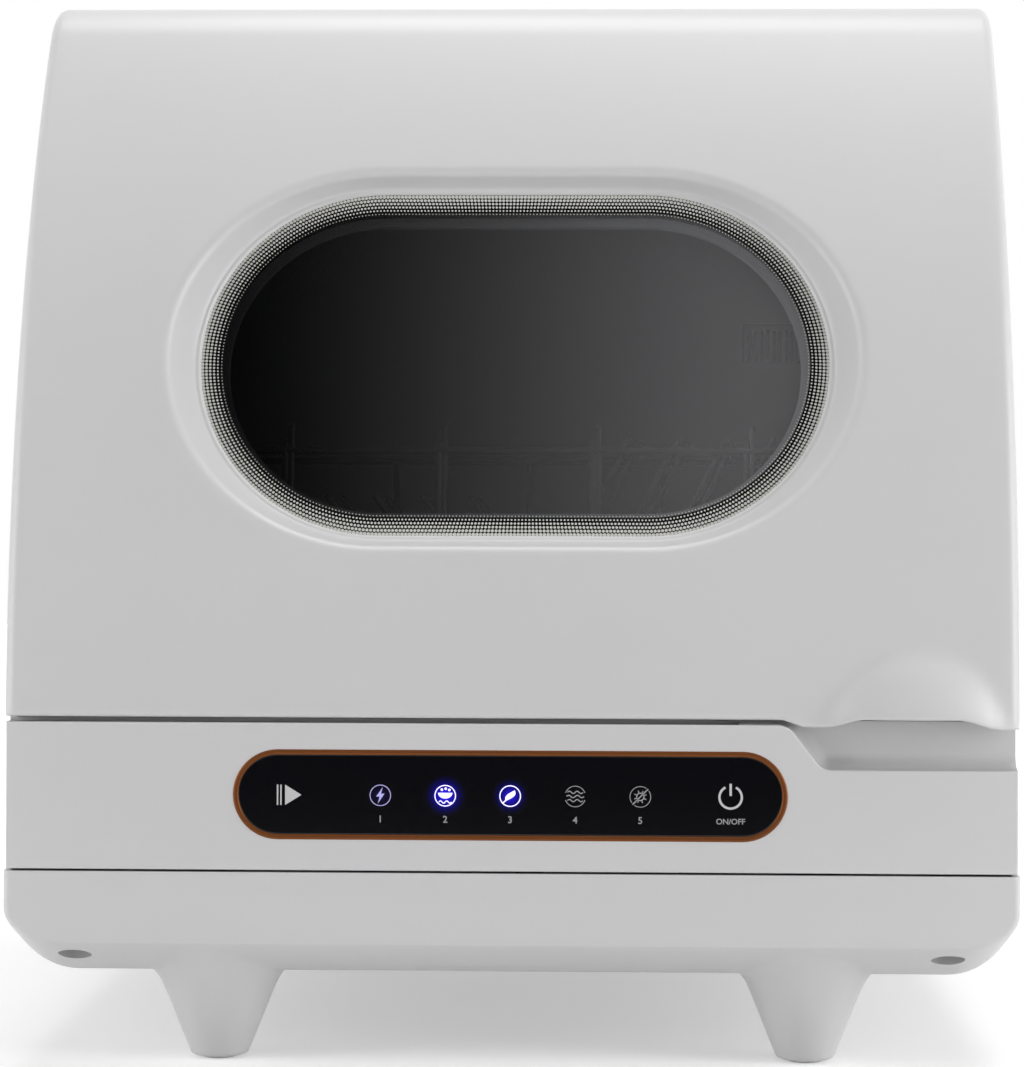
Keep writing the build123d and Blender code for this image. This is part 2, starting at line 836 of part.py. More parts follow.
def make_hinge_brackets():
    """Two brackets on the hinge deck that carry the pins."""
    brackets = []
    lean = math.radians(20.0)
    for side in (-1, 1):
        x0, x1 = sorted((side * bracket_near, side * bracket_far))
        foot0, foot1 = sorted((side * (bracket_near - 14), side * bracket_far))
        reach = (hinge_z - deck_top) / math.cos(lean)
        strut = Pos(0, 0, -reach / 2) * Box(x1 - x0, 2 * strut_half, reach)
        strut = Pos((x0 + x1) / 2, hinge_y, hinge_z) * Rot(-math.degrees(lean), 0, 0) * strut
        strut &= block((x0, x1), (tub_rear, rear_face), (deck_top, case_height))
        plate = strut + ear(side, bracket_near, bracket_far, ear_radius)
        plate += block((foot0, foot1), (deck_front, hinge_y + 6), (deck_top, deck_top + 2.5))
        brackets.append(plate - ear(side, bracket_near - 1, bracket_far + 1, pin_radius))
    return Part() + brackets


def make_hinge_pins():
    """Two shouldered pins, fixed in the brackets."""
    pins = []
    for side in (-1, 1):
        pin = ear(side, bracket_near, arm_far + 3, pin_radius)
        pin += ear(side, bracket_near - 2, bracket_near, pin_radius + 1.8)
        pins.append(pin)
    return Part() + pins


def make_strike_plates():
    """Steel plates under the liner rim, above the magnets."""
    plates = []
    for side in (-1, 1):
        place = split_plane * Pos(side * switch_x, magnet_along, 0)
        plates.append(place * Pos(0, 0, liner_seat - 0.6) * Box(4.8, 28, 1.2))
    return Part() + plates


def make_catch_magnets():
    """Magnets on the slanted rim that hold the hood shut."""
    magnets = []
    high = liner_seat - 1.2 - running_gap
    for side in (-1, 1):
        place = split_plane * Pos(side * switch_x, magnet_along, 0)
        magnets.append(place * Pos(0, 0, (rim_high + high) / 2) * Box(4.8, 30, high - rim_high))
    return Part() + magnets


def switch_plane():
    """Frame of the door switch: its axis is square to the slanted joint."""
    along = (switch_y - hinge_y) / math.cos(split_angle)
    return split_plane * Pos(switch_x, along, 0)


def make_door_switch():
    """Switch box under the slanted rim."""
    low = rim_low - 12.0
    box = Pos(0, 0, (low + rim_low) / 2) * Box(6.0, 20.0, rim_low - low)
    bore = Pos(0, 0, low + 2 + 10) * Cylinder(plunger_radius + running_gap, 20)
    return switch_plane() * (box - bore)


def make_switch_plunger():
    """Plunger of the door switch, just below the liner rim."""
    high = liner_seat - 3 * running_gap
    low = rim_low - 12.0 + 2.0 + plunger_travel + running_gap
    return switch_plane() * Pos(0, 0, (low + high) / 2) * Cylinder(plunger_radius, high - low)


# ---- wash tub and what stands in it ----
def heater_ends():
    """Points where the two ends of the heating element pass the tub floor."""
    ends = []
    for angle in (84.0, 96.0):
        turn = math.radians(angle)
        ends.append((heater_radius * math.cos(turn), tub_middle + heater_radius * math.sin(turn)))
    return ends


def make_wash_tub():
    """Tub with rounded corners, open along the slanted joint."""
    outer = tub_column(tub_wall, tub_under, case_height)
    base = outer.faces().sort_by(Axis.Z)[0].edges()
    outer = fillet(base, tub_floor_round + tub_wall)
    inner = tub_column(0, tub_floor, case_height + 1)
    base = inner.faces().sort_by(Axis.Z)[0].edges()
    inner = fillet(base, tub_floor_round)
    tub = outer & slab(-beyond, rim_high + tub_wall)
    tub += rim_ring(tub_wall + flange_width, 0, rim_high, rim_high + tub_wall)
    tub -= inner
    tub += Pos(0, tub_middle, tub_floor + arm_lift / 4) * Cylinder(post_radius + 8, arm_lift / 2)
    tub -= rod((0, tub_middle, 0), (0, tub_middle, case_height), post_radius + 2.0)
    tub -= rod((filter_x, filter_y, 0), (filter_x, filter_y, case_height), filter_radius + 1.0)
    for x, y in heater_ends():
        tub -= rod((x, y, 0), (x, y, case_height), heater_bar)
    post_top = tub_floor + float_travel + 3.5
    tub += rod((float_x, float_y, tub_floor), (float_x, float_y, post_top), 4.0)
    duct = (duct_x_range(wall), (tub_rear - 5, tub_rear + 9), duct_z_range(wall))
    tub -= block(*duct)
    tub -= rod((pipe_x, tub_rear - 5, pipe_level), (pipe_x, tub_rear + 9, pipe_level), 6.0)
    return tub


def make_tub_seal():
    """Gasket on the rim of the tub."""
    high = liner_seat - running_gap
    return rim_ring(1.0 + seal_width, 1.0, rim_high + tub_wall, high)


def make_spray_post():
    """Hollow post that feeds and carries the spray arm."""
    foot = tub_under - 5.0
    post = rod((0, tub_middle, foot), (0, tub_middle, arm_foot - running_gap), post_radius + 2.0)
    post += rod((0, tub_middle, foot), (0, tub_middle, arm_top + 5.0), post_radius)
    post -= rod((0, tub_middle, foot - 1), (0, tub_middle, arm_top + 3.0), post_radius - 2.5)
    slit = block((-20, 20), (tub_middle - 2, tub_middle + 2), (arm_foot + 3, arm_top - 3))
    return post - slit


def make_spray_nut():
    """Knurled nut that keeps the spray arm on its post."""
    low = arm_top + running_gap
    nut = Pos(0, tub_middle, low + 3.0) * Cylinder(post_radius + 5, 6.0)
    nut = fillet(nut.edges().group_by(Axis.Z)[-1], 1.5)
    for step in range(16):
        grip = Pos(post_radius + 5.6, 0, 0) * Cylinder(1.2, 20)
        nut -= Pos(0, tub_middle, low) * Rot(0, 0, step * 22.5) * grip
    return nut - rod((0, tub_middle, 0), (0, tub_middle, case_height), post_radius)


def make_spray_arm():
    """Two-ended spray arm with jets on top."""
    bar = SlotOverall(2 * arm_reach, arm_width)
    arm = extrude(Pos(0, 0, arm_foot) * bar, amount=arm_height)
    arm = fillet(arm.edges().group_by(Axis.Z)[-1] + arm.edges().group_by(Axis.Z)[0], 3.0)
    hub = Pos(0, 0, (arm_foot + arm_top) / 2) * Cylinder(arm_width * 0.7, arm_height)
    arm += hub
    for side in (-1, 1):
        for step in range(5):
            x = side * (34.0 + step * 17.0)
            jet = extrude(Pos(x, side * 3.0, arm_top - 2.5) * SlotOverall(7.0, 2.0), amount=5)
            arm -= jet
    for side in (-1, 1):
        jet = Pos(side * (arm_reach - 10), 0, arm_foot + arm_height / 2) * Rot(0, side * 60, 0)
        arm -= jet * Pos(0, 0, 10) * Cylinder(1.2, 20)
    arm -= rod((0, 0, 0), (0, 0, case_height), post_radius + shaft_play)
    return Pos(0, tub_middle, 0) * Rot(0, 0, 24) * arm


def make_heating_element():
    """Ring heater on the tub floor with both ends through it."""
    level = tub_floor + heater_bar + 2.0
    ring = Pos(0, tub_middle, level) * Torus(heater_radius, heater_bar)
    gap = math.radians(84.0)
    gap_points = [(0, 0), (400 * math.cos(gap), 400 * math.sin(gap))]
    gap_points.append((-400 * math.cos(gap), 400 * math.sin(gap)))
    wedge = extrude(Pos(0, tub_middle, level - 20) * make_face(Polyline(*gap_points, close=True)), amount=40)
    ring -= wedge
    for x, y in heater_ends():
        ring += Pos(x, y, level) * Sphere(heater_bar)
        ring += rod((x, y, tub_under - 8), (x, y, level), heater_bar)
        ring += rod((x, y, tub_floor), (x, y, tub_floor + 2), heater_bar + 2)
    return ring


def make_filter_cup():
    """Twist-out strainer with a grip on top and slots in its wall."""
    top = tub_floor + running_gap
    depth = 30.0
    outer = rod((0, 0, top - depth), (0, 0, top + 2), filter_radius)
    outer += rod((0, 0, top), (0, 0, top + 2), filter_radius + 4)
    cup = outer - rod((0, 0, top - depth + 1.5), (0, 0, top + 3), filter_radius - 1.5)
    for step in range(12):
        slot = block((filter_radius - 4, filter_radius + 4), (-1.0, 1.0), (top - depth + 5, top - 5))
        cup -= Rot(0, 0, step * 30) * slot
    grip = block((-filter_radius, filter_radius), (-1.5, 1.5), (top - 6, top + 4))
    grip += block((-1.5, 1.5), (-filter_radius, filter_radius), (top - 6, top + 4))
    return Pos(filter_x, filter_y, 0) * (cup + grip)


def make_float_cap():
    """Float that slides up its post when the water is too high."""
    low = tub_floor + running_gap
    top = low + float_travel + 6.5
    cap = rod((0, 0, low), (0, 0, top), float_radius)
    cap = fillet(cap.edges().group_by(Axis.Z)[-1], 3.0)
    bore_top = tub_floor + float_travel + 3.5 + running_gap
    cap -= rod((0, 0, low - 1), (0, 0, bore_top), 4.0 + running_gap)
    return Pos(float_x, float_y, 0) * cap


# ---- rack ----
def rack_ring(x_half, y_front, y_rear, level, radius):
    """Closed wire ring with round corners."""
    middle = (y_front + y_rear) / 2
    outline = RectangleRounded(2 * x_half, y_rear - y_front, rack_corner)
    path = Pos(0, middle, level) * outline.face().outer_wire()
    start = Plane(origin=path @ 0, z_dir=path % 0)
    return sweep(start * Circle(radius), path=path)


def rack_span(y, z):
    """Front edge of the leaning rack front at a level."""
    share = (z - rack_floor) / (rail_level - rack_floor)
    return y + rack_lean * share


def make_rack_basket():
    """Welded wire basket: floor wires, two rings and upright posts."""
    side = rack_side
    top_rear = rack_rear - 10.0
    top_side = side - 3.0
    basket = rack_ring(side, rack_front, rack_rear, rack_floor, rail_radius)
    basket += rack_ring(top_side, rack_front + rack_lean, top_rear, rail_level, rail_radius)
    wires = []
    lengthwise = [-3 * 45.0 + step * 45.0 for step in range(7)]
    for x in lengthwise:
        wires.append(rod((x, rack_front, rack_floor), (x, rack_rear, rack_floor), wire_radius))
    cross_level = rack_floor + 2 * wire_radius - 0.6
    for step in range(5):
        y = rack_front + 40.0 + step * (rack_rear - rack_front - 80.0) / 4
        wires.append(rod((-side, y, cross_level), (side, y, cross_level), wire_radius))
    for step in range(4):
        x = post_start + step * post_pitch
        wires += hairpin(x)
    for step in range(3):
        x = post_start + (step + 0.5) * post_pitch
        wires.append(rod((x, rack_rear, rack_floor), (x, top_rear, rail_level), wire_radius))
    for end in (-1, 1):
        for y in (rack_front + 66.0, tub_middle, rack_rear - 50.0):
            foot = (end * side, y, rack_floor)
            wires.append(rod(foot, (end * top_side, y, rail_level), wire_radius))
    return basket + wires


def hairpin(x):
    """Bent wire post at the front: two legs side by side, one above the rail."""
    foot = rack_front
    legs = []
    for shift, rise in ((-1.25, 3.0), (1.25, post_rise)):
        level = rail_level + rise
        tip = (x + shift, rack_span(foot, level), level)
        legs.append(rod((x + shift, foot, rack_floor), tip, wire_radius))
        legs.append(Pos(*tip) * Sphere(wire_radius))
    return legs


def make_plate_tines():
    """Two rows of tines with bent tips that hold plates upright."""
    level = rack_floor + 2 * wire_radius
    count = 8
    first = -rack_side + 18.0
    last = first + (count - 1) * tine_pitch
    rows = []
    for y in (rack_front + 46.0, rack_front + 128.0):
        row = rod((first - 8, y, level), (last + 8, y, level), wire_radius)
        for step in range(count):
            x = first + step * tine_pitch
            knee = (x, y, level + plate_tine_rise * 0.76)
            tip = (x - 17.0, y, level + plate_tine_rise)
            row += rod((x, y, level), knee, wire_radius)
            row += rod(knee, tip, wire_radius)
            row += Pos(*knee) * Sphere(wire_radius)
            row += Pos(*tip) * Sphere(wire_radius)
        rows.append(row)
    return Part() + rows


def make_bowl_tines():
    """Two rows of slanted tines that hold bowls on edge."""
    level = rack_floor + 2 * wire_radius
    rise = rail_level + 5.0 - level
    lean = rise * math.tan(math.radians(tine_angle))
    rows = []
    for y, first in ((rack_front + 32.0, 49.0), (rack_front + 74.0, 54.5)):
        feet = [first + step * tine_pitch - lean for step in range(4)]
        row = rod((feet[0] - 8, y, level), (feet[-1] + 14, y, level), wire_radius)
        for x in feet:
            row += rod((x, y, level), (x + lean, y, level + rise), wire_radius)
            row += Pos(x + lean, y, level + rise) * Sphere(wire_radius)
        rows.append(row)
    return Part() + rows


def make_rack_feet():
    """Four feet of the rack on the tub floor."""
    feet = []
    for x in (-rack_side + 6, rack_side - 6):
        for y in (rack_front + 6, rack_rear - 6):
            foot = rod((x, y, tub_floor + running_gap), (x, y, rack_floor - rail_radius), 5.5)
            feet.append(foot)
    return Part() + feet


# ---- sump, pumps and hoses ----
def make_sump_housing():
    """Cup under the strainer with outlets to both pumps."""
    radius = filter_radius + 6.0
    foot = pump_level - hose_radius - wall
    cup = rod((filter_x, filter_y, foot), (filter_x, filter_y, tub_under), radius)
    wash_end = (filter_x - radius - 11.0, filter_y, pump_level)
    drain_end = (filter_x, filter_y + radius + 8.0, pump_level)
    centre = (filter_x, filter_y, pump_level)
    cup += rod(wash_end, centre, hose_radius + 1)
    cup += rod(drain_end, centre, hose_radius)
    hollow = (filter_x, filter_y, foot + wall), (filter_x, filter_y, tub_under + 1)
    cup -= rod(*hollow, radius - wall)
    cup -= rod((wash_end[0] - 1, filter_y, pump_level), centre, hose_radius - hose_wall + 1)
    cup -= rod((filter_x, drain_end[1] + 1, pump_level), centre, hose_radius - hose_wall)
    return cup


def wash_face():
    """Left end of the sump's wash outlet, where the volute starts."""
    return filter_x - filter_radius - 17.0


def wheel(radius, hub, shaft, length, vanes):
    """Pump wheel on the Z axis: plate, vanes and a shaft that points down."""
    body = Pos(0, 0, 1.5) * Cylinder(radius, 3.0)
    for step in range(vanes):
        vane = block((hub - 1, radius - 1), (-0.9, 0.9), (2.0, 9.0))
        body += Rot(0, 0, step * 360 / vanes) * Pos(0, 2.0, 0) * vane
    body += Pos(0, 0, 5.0) * Cylinder(hub, 10.0)
    return body + rod((0, 0, -length), (0, 0, 1), shaft)


def make_wash_volute():
    """Volute of the wash pump, fed from the sump, feeding the hose."""
    x1 = wash_face()
    x0 = x1 - wash_length
    case = rod((x0, filter_y, pump_level), (x1, filter_y, pump_level), wash_radius)
    outlet = (volute_out_x, filter_y, supply_level), (volute_out_x, volute_out_y, supply_level)
    case += rod(*outlet, hose_radius)
    case -= rod((x0 + wall, filter_y, pump_level), (x1 - wall, filter_y, pump_level), wash_radius - wall)
    case -= rod((x1 - 5, filter_y, pump_level), (x1 + 1, filter_y, pump_level), hose_radius - 1.5)
    case -= rod((x0 - 1, filter_y, pump_level), (x0 + 5, filter_y, pump_level), shaft_radius + 1.0)
    far = (volute_out_x, volute_out_y + 1, supply_level)
    return case - rod(outlet[0], far, hose_radius - hose_wall)


def make_wash_rotor():
    """Wheel of the wash pump with its shaft."""
    x0 = wash_face() - wash_length + wall + 3.0
    wheel_shape = wheel(wash_radius - wall - 3.0, 5.0, shaft_radius, 18.0, 7)
    return Plane(origin=(x0, filter_y, pump_level), z_dir=(1, 0, 0)) * wheel_shape


def motor_case(radius, length, rotor_reach):
    """Motor on the Z axis: its front face is at zero and its body points down."""
    body = Pos(0, 0, -length / 2) * Cylinder(radius, length)
    body = fillet(body.edges(), 2.5)
    for step in range(12):
        groove = Pos(radius, 0, -length / 2) * Cylinder(1.4, length * 0.7)
        body -= Rot(0, 0, step * 30) * groove
    bore = rod((0, 0, -rotor_reach - 1), (0, 0, 1), shaft_radius + shaft_play)
    plug = Pos(0, -radius, -length * 0.8) * Box(12.0, 8.0, 9.0)
    return body + plug - bore


def make_wash_motor():
    """Motor of the wash pump."""
    face = wash_face() - wash_length
    motor = motor_case(wash_motor_radius, wash_motor_length, 13.0)
    frame = Plane(origin=(face, filter_y, pump_level), x_dir=(0, 0, 1), z_dir=(1, 0, 0))
    return frame * motor


def make_drain_volute():
    """Volute of the drain pump behind the sump."""
    y0 = drain_face
    y1 = y0 + drain_length
    case = rod((filter_x, y0, pump_level), (filter_x, y1, pump_level), drain_radius)
    middle = (y0 + y1) / 2
    far = filter_x + drain_radius + 8.0
    case += rod((filter_x, middle, drain_level), (far, middle, drain_level), drain_hose_radius)
    hollow = (filter_x, y0 + wall, pump_level), (filter_x, y1 - wall, pump_level)
    case -= rod(*hollow, drain_radius - wall)
    case -= rod((filter_x, y0 - 1, pump_level), (filter_x, y0 + 5, pump_level), hose_radius - hose_wall)
    case -= rod((filter_x, y1 - 5, pump_level), (filter_x, y1 + 1, pump_level), shaft_radius + 1.0)
    bore = drain_hose_radius - hose_wall
    return case - rod((filter_x, middle, drain_level), (far + 1, middle, drain_level), bore)


def make_drain_rotor():
    """Wheel of the drain pump with its shaft."""
    y1 = drain_face + drain_length - wall
    wheel_shape = wheel(drain_radius - wall - 3.0, 4.5, shaft_radius, 14.0, 5)
    return Plane(origin=(filter_x, y1 - 1.5, pump_level), z_dir=(0, -1, 0)) * wheel_shape


def make_drain_motor():
    """Motor of the drain pump."""
    motor = motor_case(drain_motor_radius, drain_motor_length, 12.0)
    frame = Plane(origin=(filter_x, drain_face + drain_length, pump_level), z_dir=(0, -1, 0))
    return frame * motor


def make_pump_mounts():
    """Rubber saddles that carry both pump motors on the tray floor."""
    floor = tray_bottom + wall
    x_end = wash_face() - wash_length
    saddles = []
    for x in (x_end - 14.0, x_end - 46.0):
        foot = block((x - 6, x + 6), (filter_y - 18, filter_y + 18), (floor, pump_level - 10))
        foot -= rod((x - 7, filter_y, pump_level), (x + 7, filter_y, pump_level), wash_motor_radius)
        saddles.append(foot)
    y = drain_face + drain_length + drain_motor_length / 2
    foot = block((filter_x - 13, filter_x + 13), (y - 7, y + 7), (floor, pump_level - 8))
    ends = (filter_x, y - 8, pump_level), (filter_x, y + 8, pump_level)
    saddles.append(foot - rod(*ends, drain_motor_radius))
    return Part() + saddles


def make_supply_hose():
    """Hose from the wash pump to the spray post."""
    points = [
        (volute_out_x, volute_out_y, supply_level),
        (volute_out_x, tub_middle, supply_level),
        (0, tub_middle, supply_level),
        (0, tub_middle, tub_under - 5.0),
    ]
    return swept_hose(points, [20.0, 20.0], hose_radius, hose_radius - hose_wall)


def make_drain_hose():
    """Hose from the drain pump to the spigot at the back."""
    middle = drain_face + drain_length / 2
    points = [
        (filter_x + drain_radius + 8.0, middle, drain_level),
        (drain_x, middle, drain_level),
        (drain_x, rear_face - 2 * wall, drain_level),
    ]
    return swept_hose(points, [14.0], drain_hose_radius, drain_hose_radius - hose_wall)


def make_drain_spigot():
    """Barbed spigot through the back of the tray."""
    back = rear_face + fitting_length
    start = (drain_x, rear_face - 2 * wall, drain_level)
    spigot = rod(start, (drain_x, back, drain_level), drain_hose_radius)
    flange = (drain_x, rear_face, drain_level), (drain_x, rear_face + 2.0, drain_level)
    spigot += rod(*flange, drain_hose_radius + 4)
    bore = drain_hose_radius - hose_wall
    return spigot - rod((drain_x, rear_face - 20, drain_level), (drain_x, back + 1, drain_level), bore)


def make_inlet_valve():
    """Water valve with its inlet through the back of the tray."""
    back = rear_face + fitting_length
    width = (inlet_x - 18, inlet_x + 18)
    height = (inlet_level - 15, inlet_level + 13)
    valve = block(width, (rear_face - 46, rear_face - wall - 1), height)
    valve = fillet(valve.edges().filter_by(Axis.Z), 2.0)
    inlet_start = (inlet_x, rear_face - 20, inlet_level)
    valve += rod(inlet_start, (inlet_x, back, inlet_level), inlet_thread_radius)
    flange = (inlet_x, rear_face, inlet_level), (inlet_x, rear_face + 2.5, inlet_level)
    valve += rod(*flange, inlet_thread_radius + 3.8)
    hose_start = (inlet_x, inlet_hose_y, inlet_level)
    valve += rod(hose_start, (inlet_x, inlet_hose_y, inlet_level + 21), hose_radius - 2.0)
    valve -= rod(hose_start, (inlet_x, inlet_hose_y, inlet_level + 22), hose_radius - 4.5)
    return valve - rod(inlet_start, (inlet_x, back + 1, inlet_level), inlet_thread_radius - 4.2)


def make_inlet_hose():
    """Straight riser from the valve to the tank."""
    start = (inlet_x, inlet_hose_y, inlet_level + 21)
    end = (inlet_x, inlet_hose_y, tank_foot)
    return pipe(start, end, hose_radius - 2.0, hose_radius - 4.5)


# ---- tank, blower and main board ----
def tank_ranges(inset):
    """Extent of the water tank, moved inwards by inset."""
    left = -inner_half + 15.0
    return (
        (left + inset, left + tank_width - inset),
        (tub_rear + 12.0 + inset, rear_face - wall - 5.0 - inset),
        (tank_foot + inset, deck_top - wall - 4.0 - inset),
    )


def make_water_tank():
    """Water tank with a filling neck on top and a spout into the tub."""
    tank = block(*tank_ranges(0))
    tank = fillet(tank.edges().filter_by(Axis.Z), 10.0)
    mouth = deck_top + 22.0
    tank += rod((cap_x, neck_y, tank_foot + 50), (cap_x, neck_y, mouth), neck_radius)
    hollow = block(*tank_ranges(tank_wall))
    tank -= fillet(hollow.edges().filter_by(Axis.Z), 10.0 - tank_wall)
    tank -= rod((cap_x, neck_y, tank_foot + 49), (cap_x, neck_y, mouth + 1), neck_radius - 2.0)
    front = tub_rear + 12.0
    tank += rod((pipe_x, tub_rear, pipe_level), (pipe_x, front + 1, pipe_level), 6.0)
    tank -= rod((pipe_x, tub_rear - 1, pipe_level), (pipe_x, front + 5, pipe_level), 3.5)
    hose_y = rear_face - 29.0
    return tank - rod((inlet_x, hose_y, tank_foot - 1), (inlet_x, hose_y, tank_foot + 5), 4.5)


def make_tank_shelf():
    """Shelf between the side panels that carries the tank."""
    shelf = block(
        (-inner_half, inner_half), (tub_rear + 12.0, rear_face - wall), (tank_foot - wall, tank_foot)
    )
    hose_y = rear_face - 29.0
    return shelf - rod((inlet_x, hose_y, tank_foot - 9), (inlet_x, hose_y, tank_foot + 9), 7.3)


def make_fill_cap():
    """Flap over the filling neck, rolled round its hinge line."""
    top = case_height
    left, right = cap_x - cap_width / 2, cap_x + cap_width / 2
    flap = block((left, right), (cap_front, cap_pin_y), (top - wall, top))
    flap = fillet(flap.edges().filter_by(Axis.Z).group_by(Axis.Y)[0], 4.0)
    barrel_half = cap_width / 2 - 8.0
    ends = (cap_x - barrel_half, cap_pin_y, cap_pin_z), (cap_x + barrel_half, cap_pin_y, cap_pin_z)
    for side in (-1, 1):
        x0, x1 = sorted((cap_x + side * barrel_half, cap_x + side * (barrel_half + 12)))
        flap -= block((x0, x1), (cap_pin_y - 6, cap_pin_y + 9), (top - 9, top + 1))
    flap += rod(*ends, case_height - cap_pin_z)
    pins = (ends[0][0] - 8, cap_pin_y, cap_pin_z), (ends[1][0] + 8, cap_pin_y, cap_pin_z)
    flap += rod(*pins, 1.5)
    plug = (cap_x, neck_y, deck_top + 18.5), (cap_x, neck_y, top - wall)
    return flap + rod(*plug, neck_radius - 3.5)


def duct_x_range(inset):
    """Width of the air duct, moved inwards by inset."""
    return (blower_x - duct_width / 2 + inset, blower_x + duct_width / 2 - inset)


def duct_z_range(inset):
    """Height of the air duct, moved inwards by inset."""
    low = blower_level + 6.0
    return (low + inset, low + duct_height - inset)


def make_blower_housing():
    """Round blower housing with a duct to the tub."""
    y0 = blower_face
    y1 = y0 + blower_length
    case = rod((blower_x, y0, blower_level), (blower_x, y1, blower_level), blower_radius)
    case = fillet(case.edges(), 3.0)
    case += block(duct_x_range(0), (tub_rear + tub_wall, y0 + 8), duct_z_range(0))
    hollow = (blower_x, y0 + wall, blower_level), (blower_x, y1 - wall, blower_level)
    case -= rod(*hollow, blower_radius - wall)
    case -= block(duct_x_range(wall), (tub_rear, y0 + 8), duct_z_range(wall))
    case -= rod((blower_x, y1 - 5, blower_level), (blower_x, y1 + 1, blower_level), 24.0)
    for step in range(4):
        turn = math.radians(45 + 90 * step)
        x = blower_x + (blower_radius - 8) * math.cos(turn)
        z = blower_level + (blower_radius - 8) * math.sin(turn)
        case += rod((x, y1 - 1, z), (x, rear_face - wall, z), 4.0)
    return case


def make_fan_motor():
    """Small motor inside the blower, under the fan's hub."""
    y0 = blower_face + wall
    motor = rod((blower_x, y0, blower_level), (blower_x, y0 + 9.0, blower_level), 13.0)
    end = y0 + 10.0
    socket = (blower_x, y0 + 2, blower_level), (blower_x, end, blower_level)
    return motor - rod(*socket, shaft_radius + shaft_play)


def make_fan_rotor():
    """Bladed wheel of the blower."""
    y0 = blower_face + wall + 10.0
    outer = blower_radius - wall - 5.0
    fan = Pos(0, 0, 1.0) * Cylinder(outer, 2.0)
    fan += Pos(0, 0, 16.0) * (Cylinder(outer, 2.0) - Cylinder(outer - 7.0, 3.0))
    for step in range(24):
        blade = Pos(outer - 3.5, 0, 8.5) * Rot(0, 0, 25) * Box(7.0, 1.0, 15.5)
        fan += Rot(0, 0, step * 15) * blade
    fan += Pos(0, 0, 3.0) * Cylinder(7.0, 6.0)
    fan += rod((0, 0, -7.0), (0, 0, 1.0), shaft_radius)
    return Plane(origin=(blower_x, y0, blower_level), z_dir=(0, 1, 0)) * fan


def make_air_heater():
    """Finned heater inside the air duct."""
    y0 = tub_rear + 20.0
    body = block(duct_x_range(wall), (y0, y0 + 16), duct_z_range(wall))
    x0, x1 = duct_x_range(wall)
    z0, z1 = duct_z_range(wall)
    count = 11
    for step in range(count):
        x = x0 + (x1 - x0) * (step + 0.5) / count
        body -= block((x - 0.8, x + 0.8), (y0 - 1, y0 + 17), (z0 + 2, z1 - 2))
    return body


def board_corners():
    """Fixing points of the main board."""
    return [(x, z) for x in (90.0, 180.0) for z in (172.0, 238.0)]


def make_main_board():
    """Control board on the posts of the back plate."""
    front = board_back - 1.6
    board = block((80.0, 190.0), (front, board_back), (164.0, 246.0))
    for x, z, width, height, depth in (
        (100.0, 190.0, 18.0, 24.0, 16.0),
        (128.0, 222.0, 22.0, 14.0, 12.0),
        (158.0, 196.0, 30.0, 30.0, 9.0),
        (112.0, 224.0, 10.0, 16.0, 14.0),
        (172.0, 228.0, 12.0, 8.0, 6.0),
    ):
        across = (x - width / 2, x + width / 2)
        board += block(across, (front - depth, front), (z - height / 2, z + height / 2))
    for step in range(5):
        x = 140.0 + step * 9.0
        board += rod((x, front - 10.0, 174.0), (x, front, 174.0), 3.6)
    return board


# ---- every sub-part, by name ----
sub_parts = {
    "base_tray": make_base_tray,
    "foot_pads": make_foot_pads,
    "case_screws": make_case_screws,
    "left_side_panel": lambda: make_side_panel(-1),
    "right_side_panel": lambda: make_side_panel(1),
    "rear_cover": make_rear_cover,
    "rear_crown": make_rear_crown,
    "hinge_deck": make_hinge_deck,
    "inner_frame": make_inner_frame,
    "front_fascia": make_front_fascia,
    "control_bezel": make_control_bezel,
    "control_glass": make_control_glass,
    "control_board": make_control_board,
    "touch_springs": make_touch_springs,
    "main_board": make_main_board,
    "cord_gland": make_cord_gland,
    "wash_tub": make_wash_tub,
    "tub_seal": make_tub_seal,
    "spray_post": make_spray_post,
    "spray_nut": make_spray_nut,
    "spray_arm": make_spray_arm,
    "heating_element": make_heating_element,
    "filter_cup": make_filter_cup,
    "float_cap": make_float_cap,
    "rack_basket": make_rack_basket,
    "plate_tines": make_plate_tines,
    "bowl_tines": make_bowl_tines,
    "rack_feet": make_rack_feet,
    "sump_housing": make_sump_housing,
    "wash_pump_volute": make_wash_volute,
    "wash_pump_rotor": make_wash_rotor,
    "wash_pump_motor": make_wash_motor,
    "drain_pump_volute": make_drain_volute,
    "drain_pump_rotor": make_drain_rotor,
    "drain_pump_motor": make_drain_motor,
    "pump_mounts": make_pump_mounts,
    "supply_hose": make_supply_hose,
    "drain_hose": make_drain_hose,
    "drain_spigot": make_drain_spigot,
    "inlet_valve": make_inlet_valve,
    "inlet_hose": make_inlet_hose,
    "water_tank": make_water_tank,
    "tank_shelf": make_tank_shelf,
    "fill_cap": make_fill_cap,
    "blower_housing": make_blower_housing,
    "fan_motor": make_fan_motor,
    "fan_rotor": make_fan_rotor,
    "air_heater": make_air_heater,
    "door_shell": make_door_shell,
    "door_liner": make_door_liner,
    "door_glass": make_door_glass,
    "window_seal": make_window_seal,
    "hinge_arms": make_hinge_arms,
    "hinge_brackets": make_hinge_brackets,
    "hinge_pins": make_hinge_pins,
    "strike_plates": make_strike_plates,
    "catch_magnets": make_catch_magnets,
    "door_switch": make_door_switch,
    "switch_plunger": make_switch_plunger,
    "liner_screws": make_liner_screws,
}

os.makedirs("parts", exist_ok=True)
for name, make in sub_parts.items():
    save(make(), name)
    print(name, "written")
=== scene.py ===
"""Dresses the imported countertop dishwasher: camera, studio, finishes and detailed pieces."""
import json
import logging
import math
from dataclasses import dataclass, field
from enum import Enum
from typing import Callable, Sequence

import bmesh
import bpy
from mathutils import Matrix, Vector


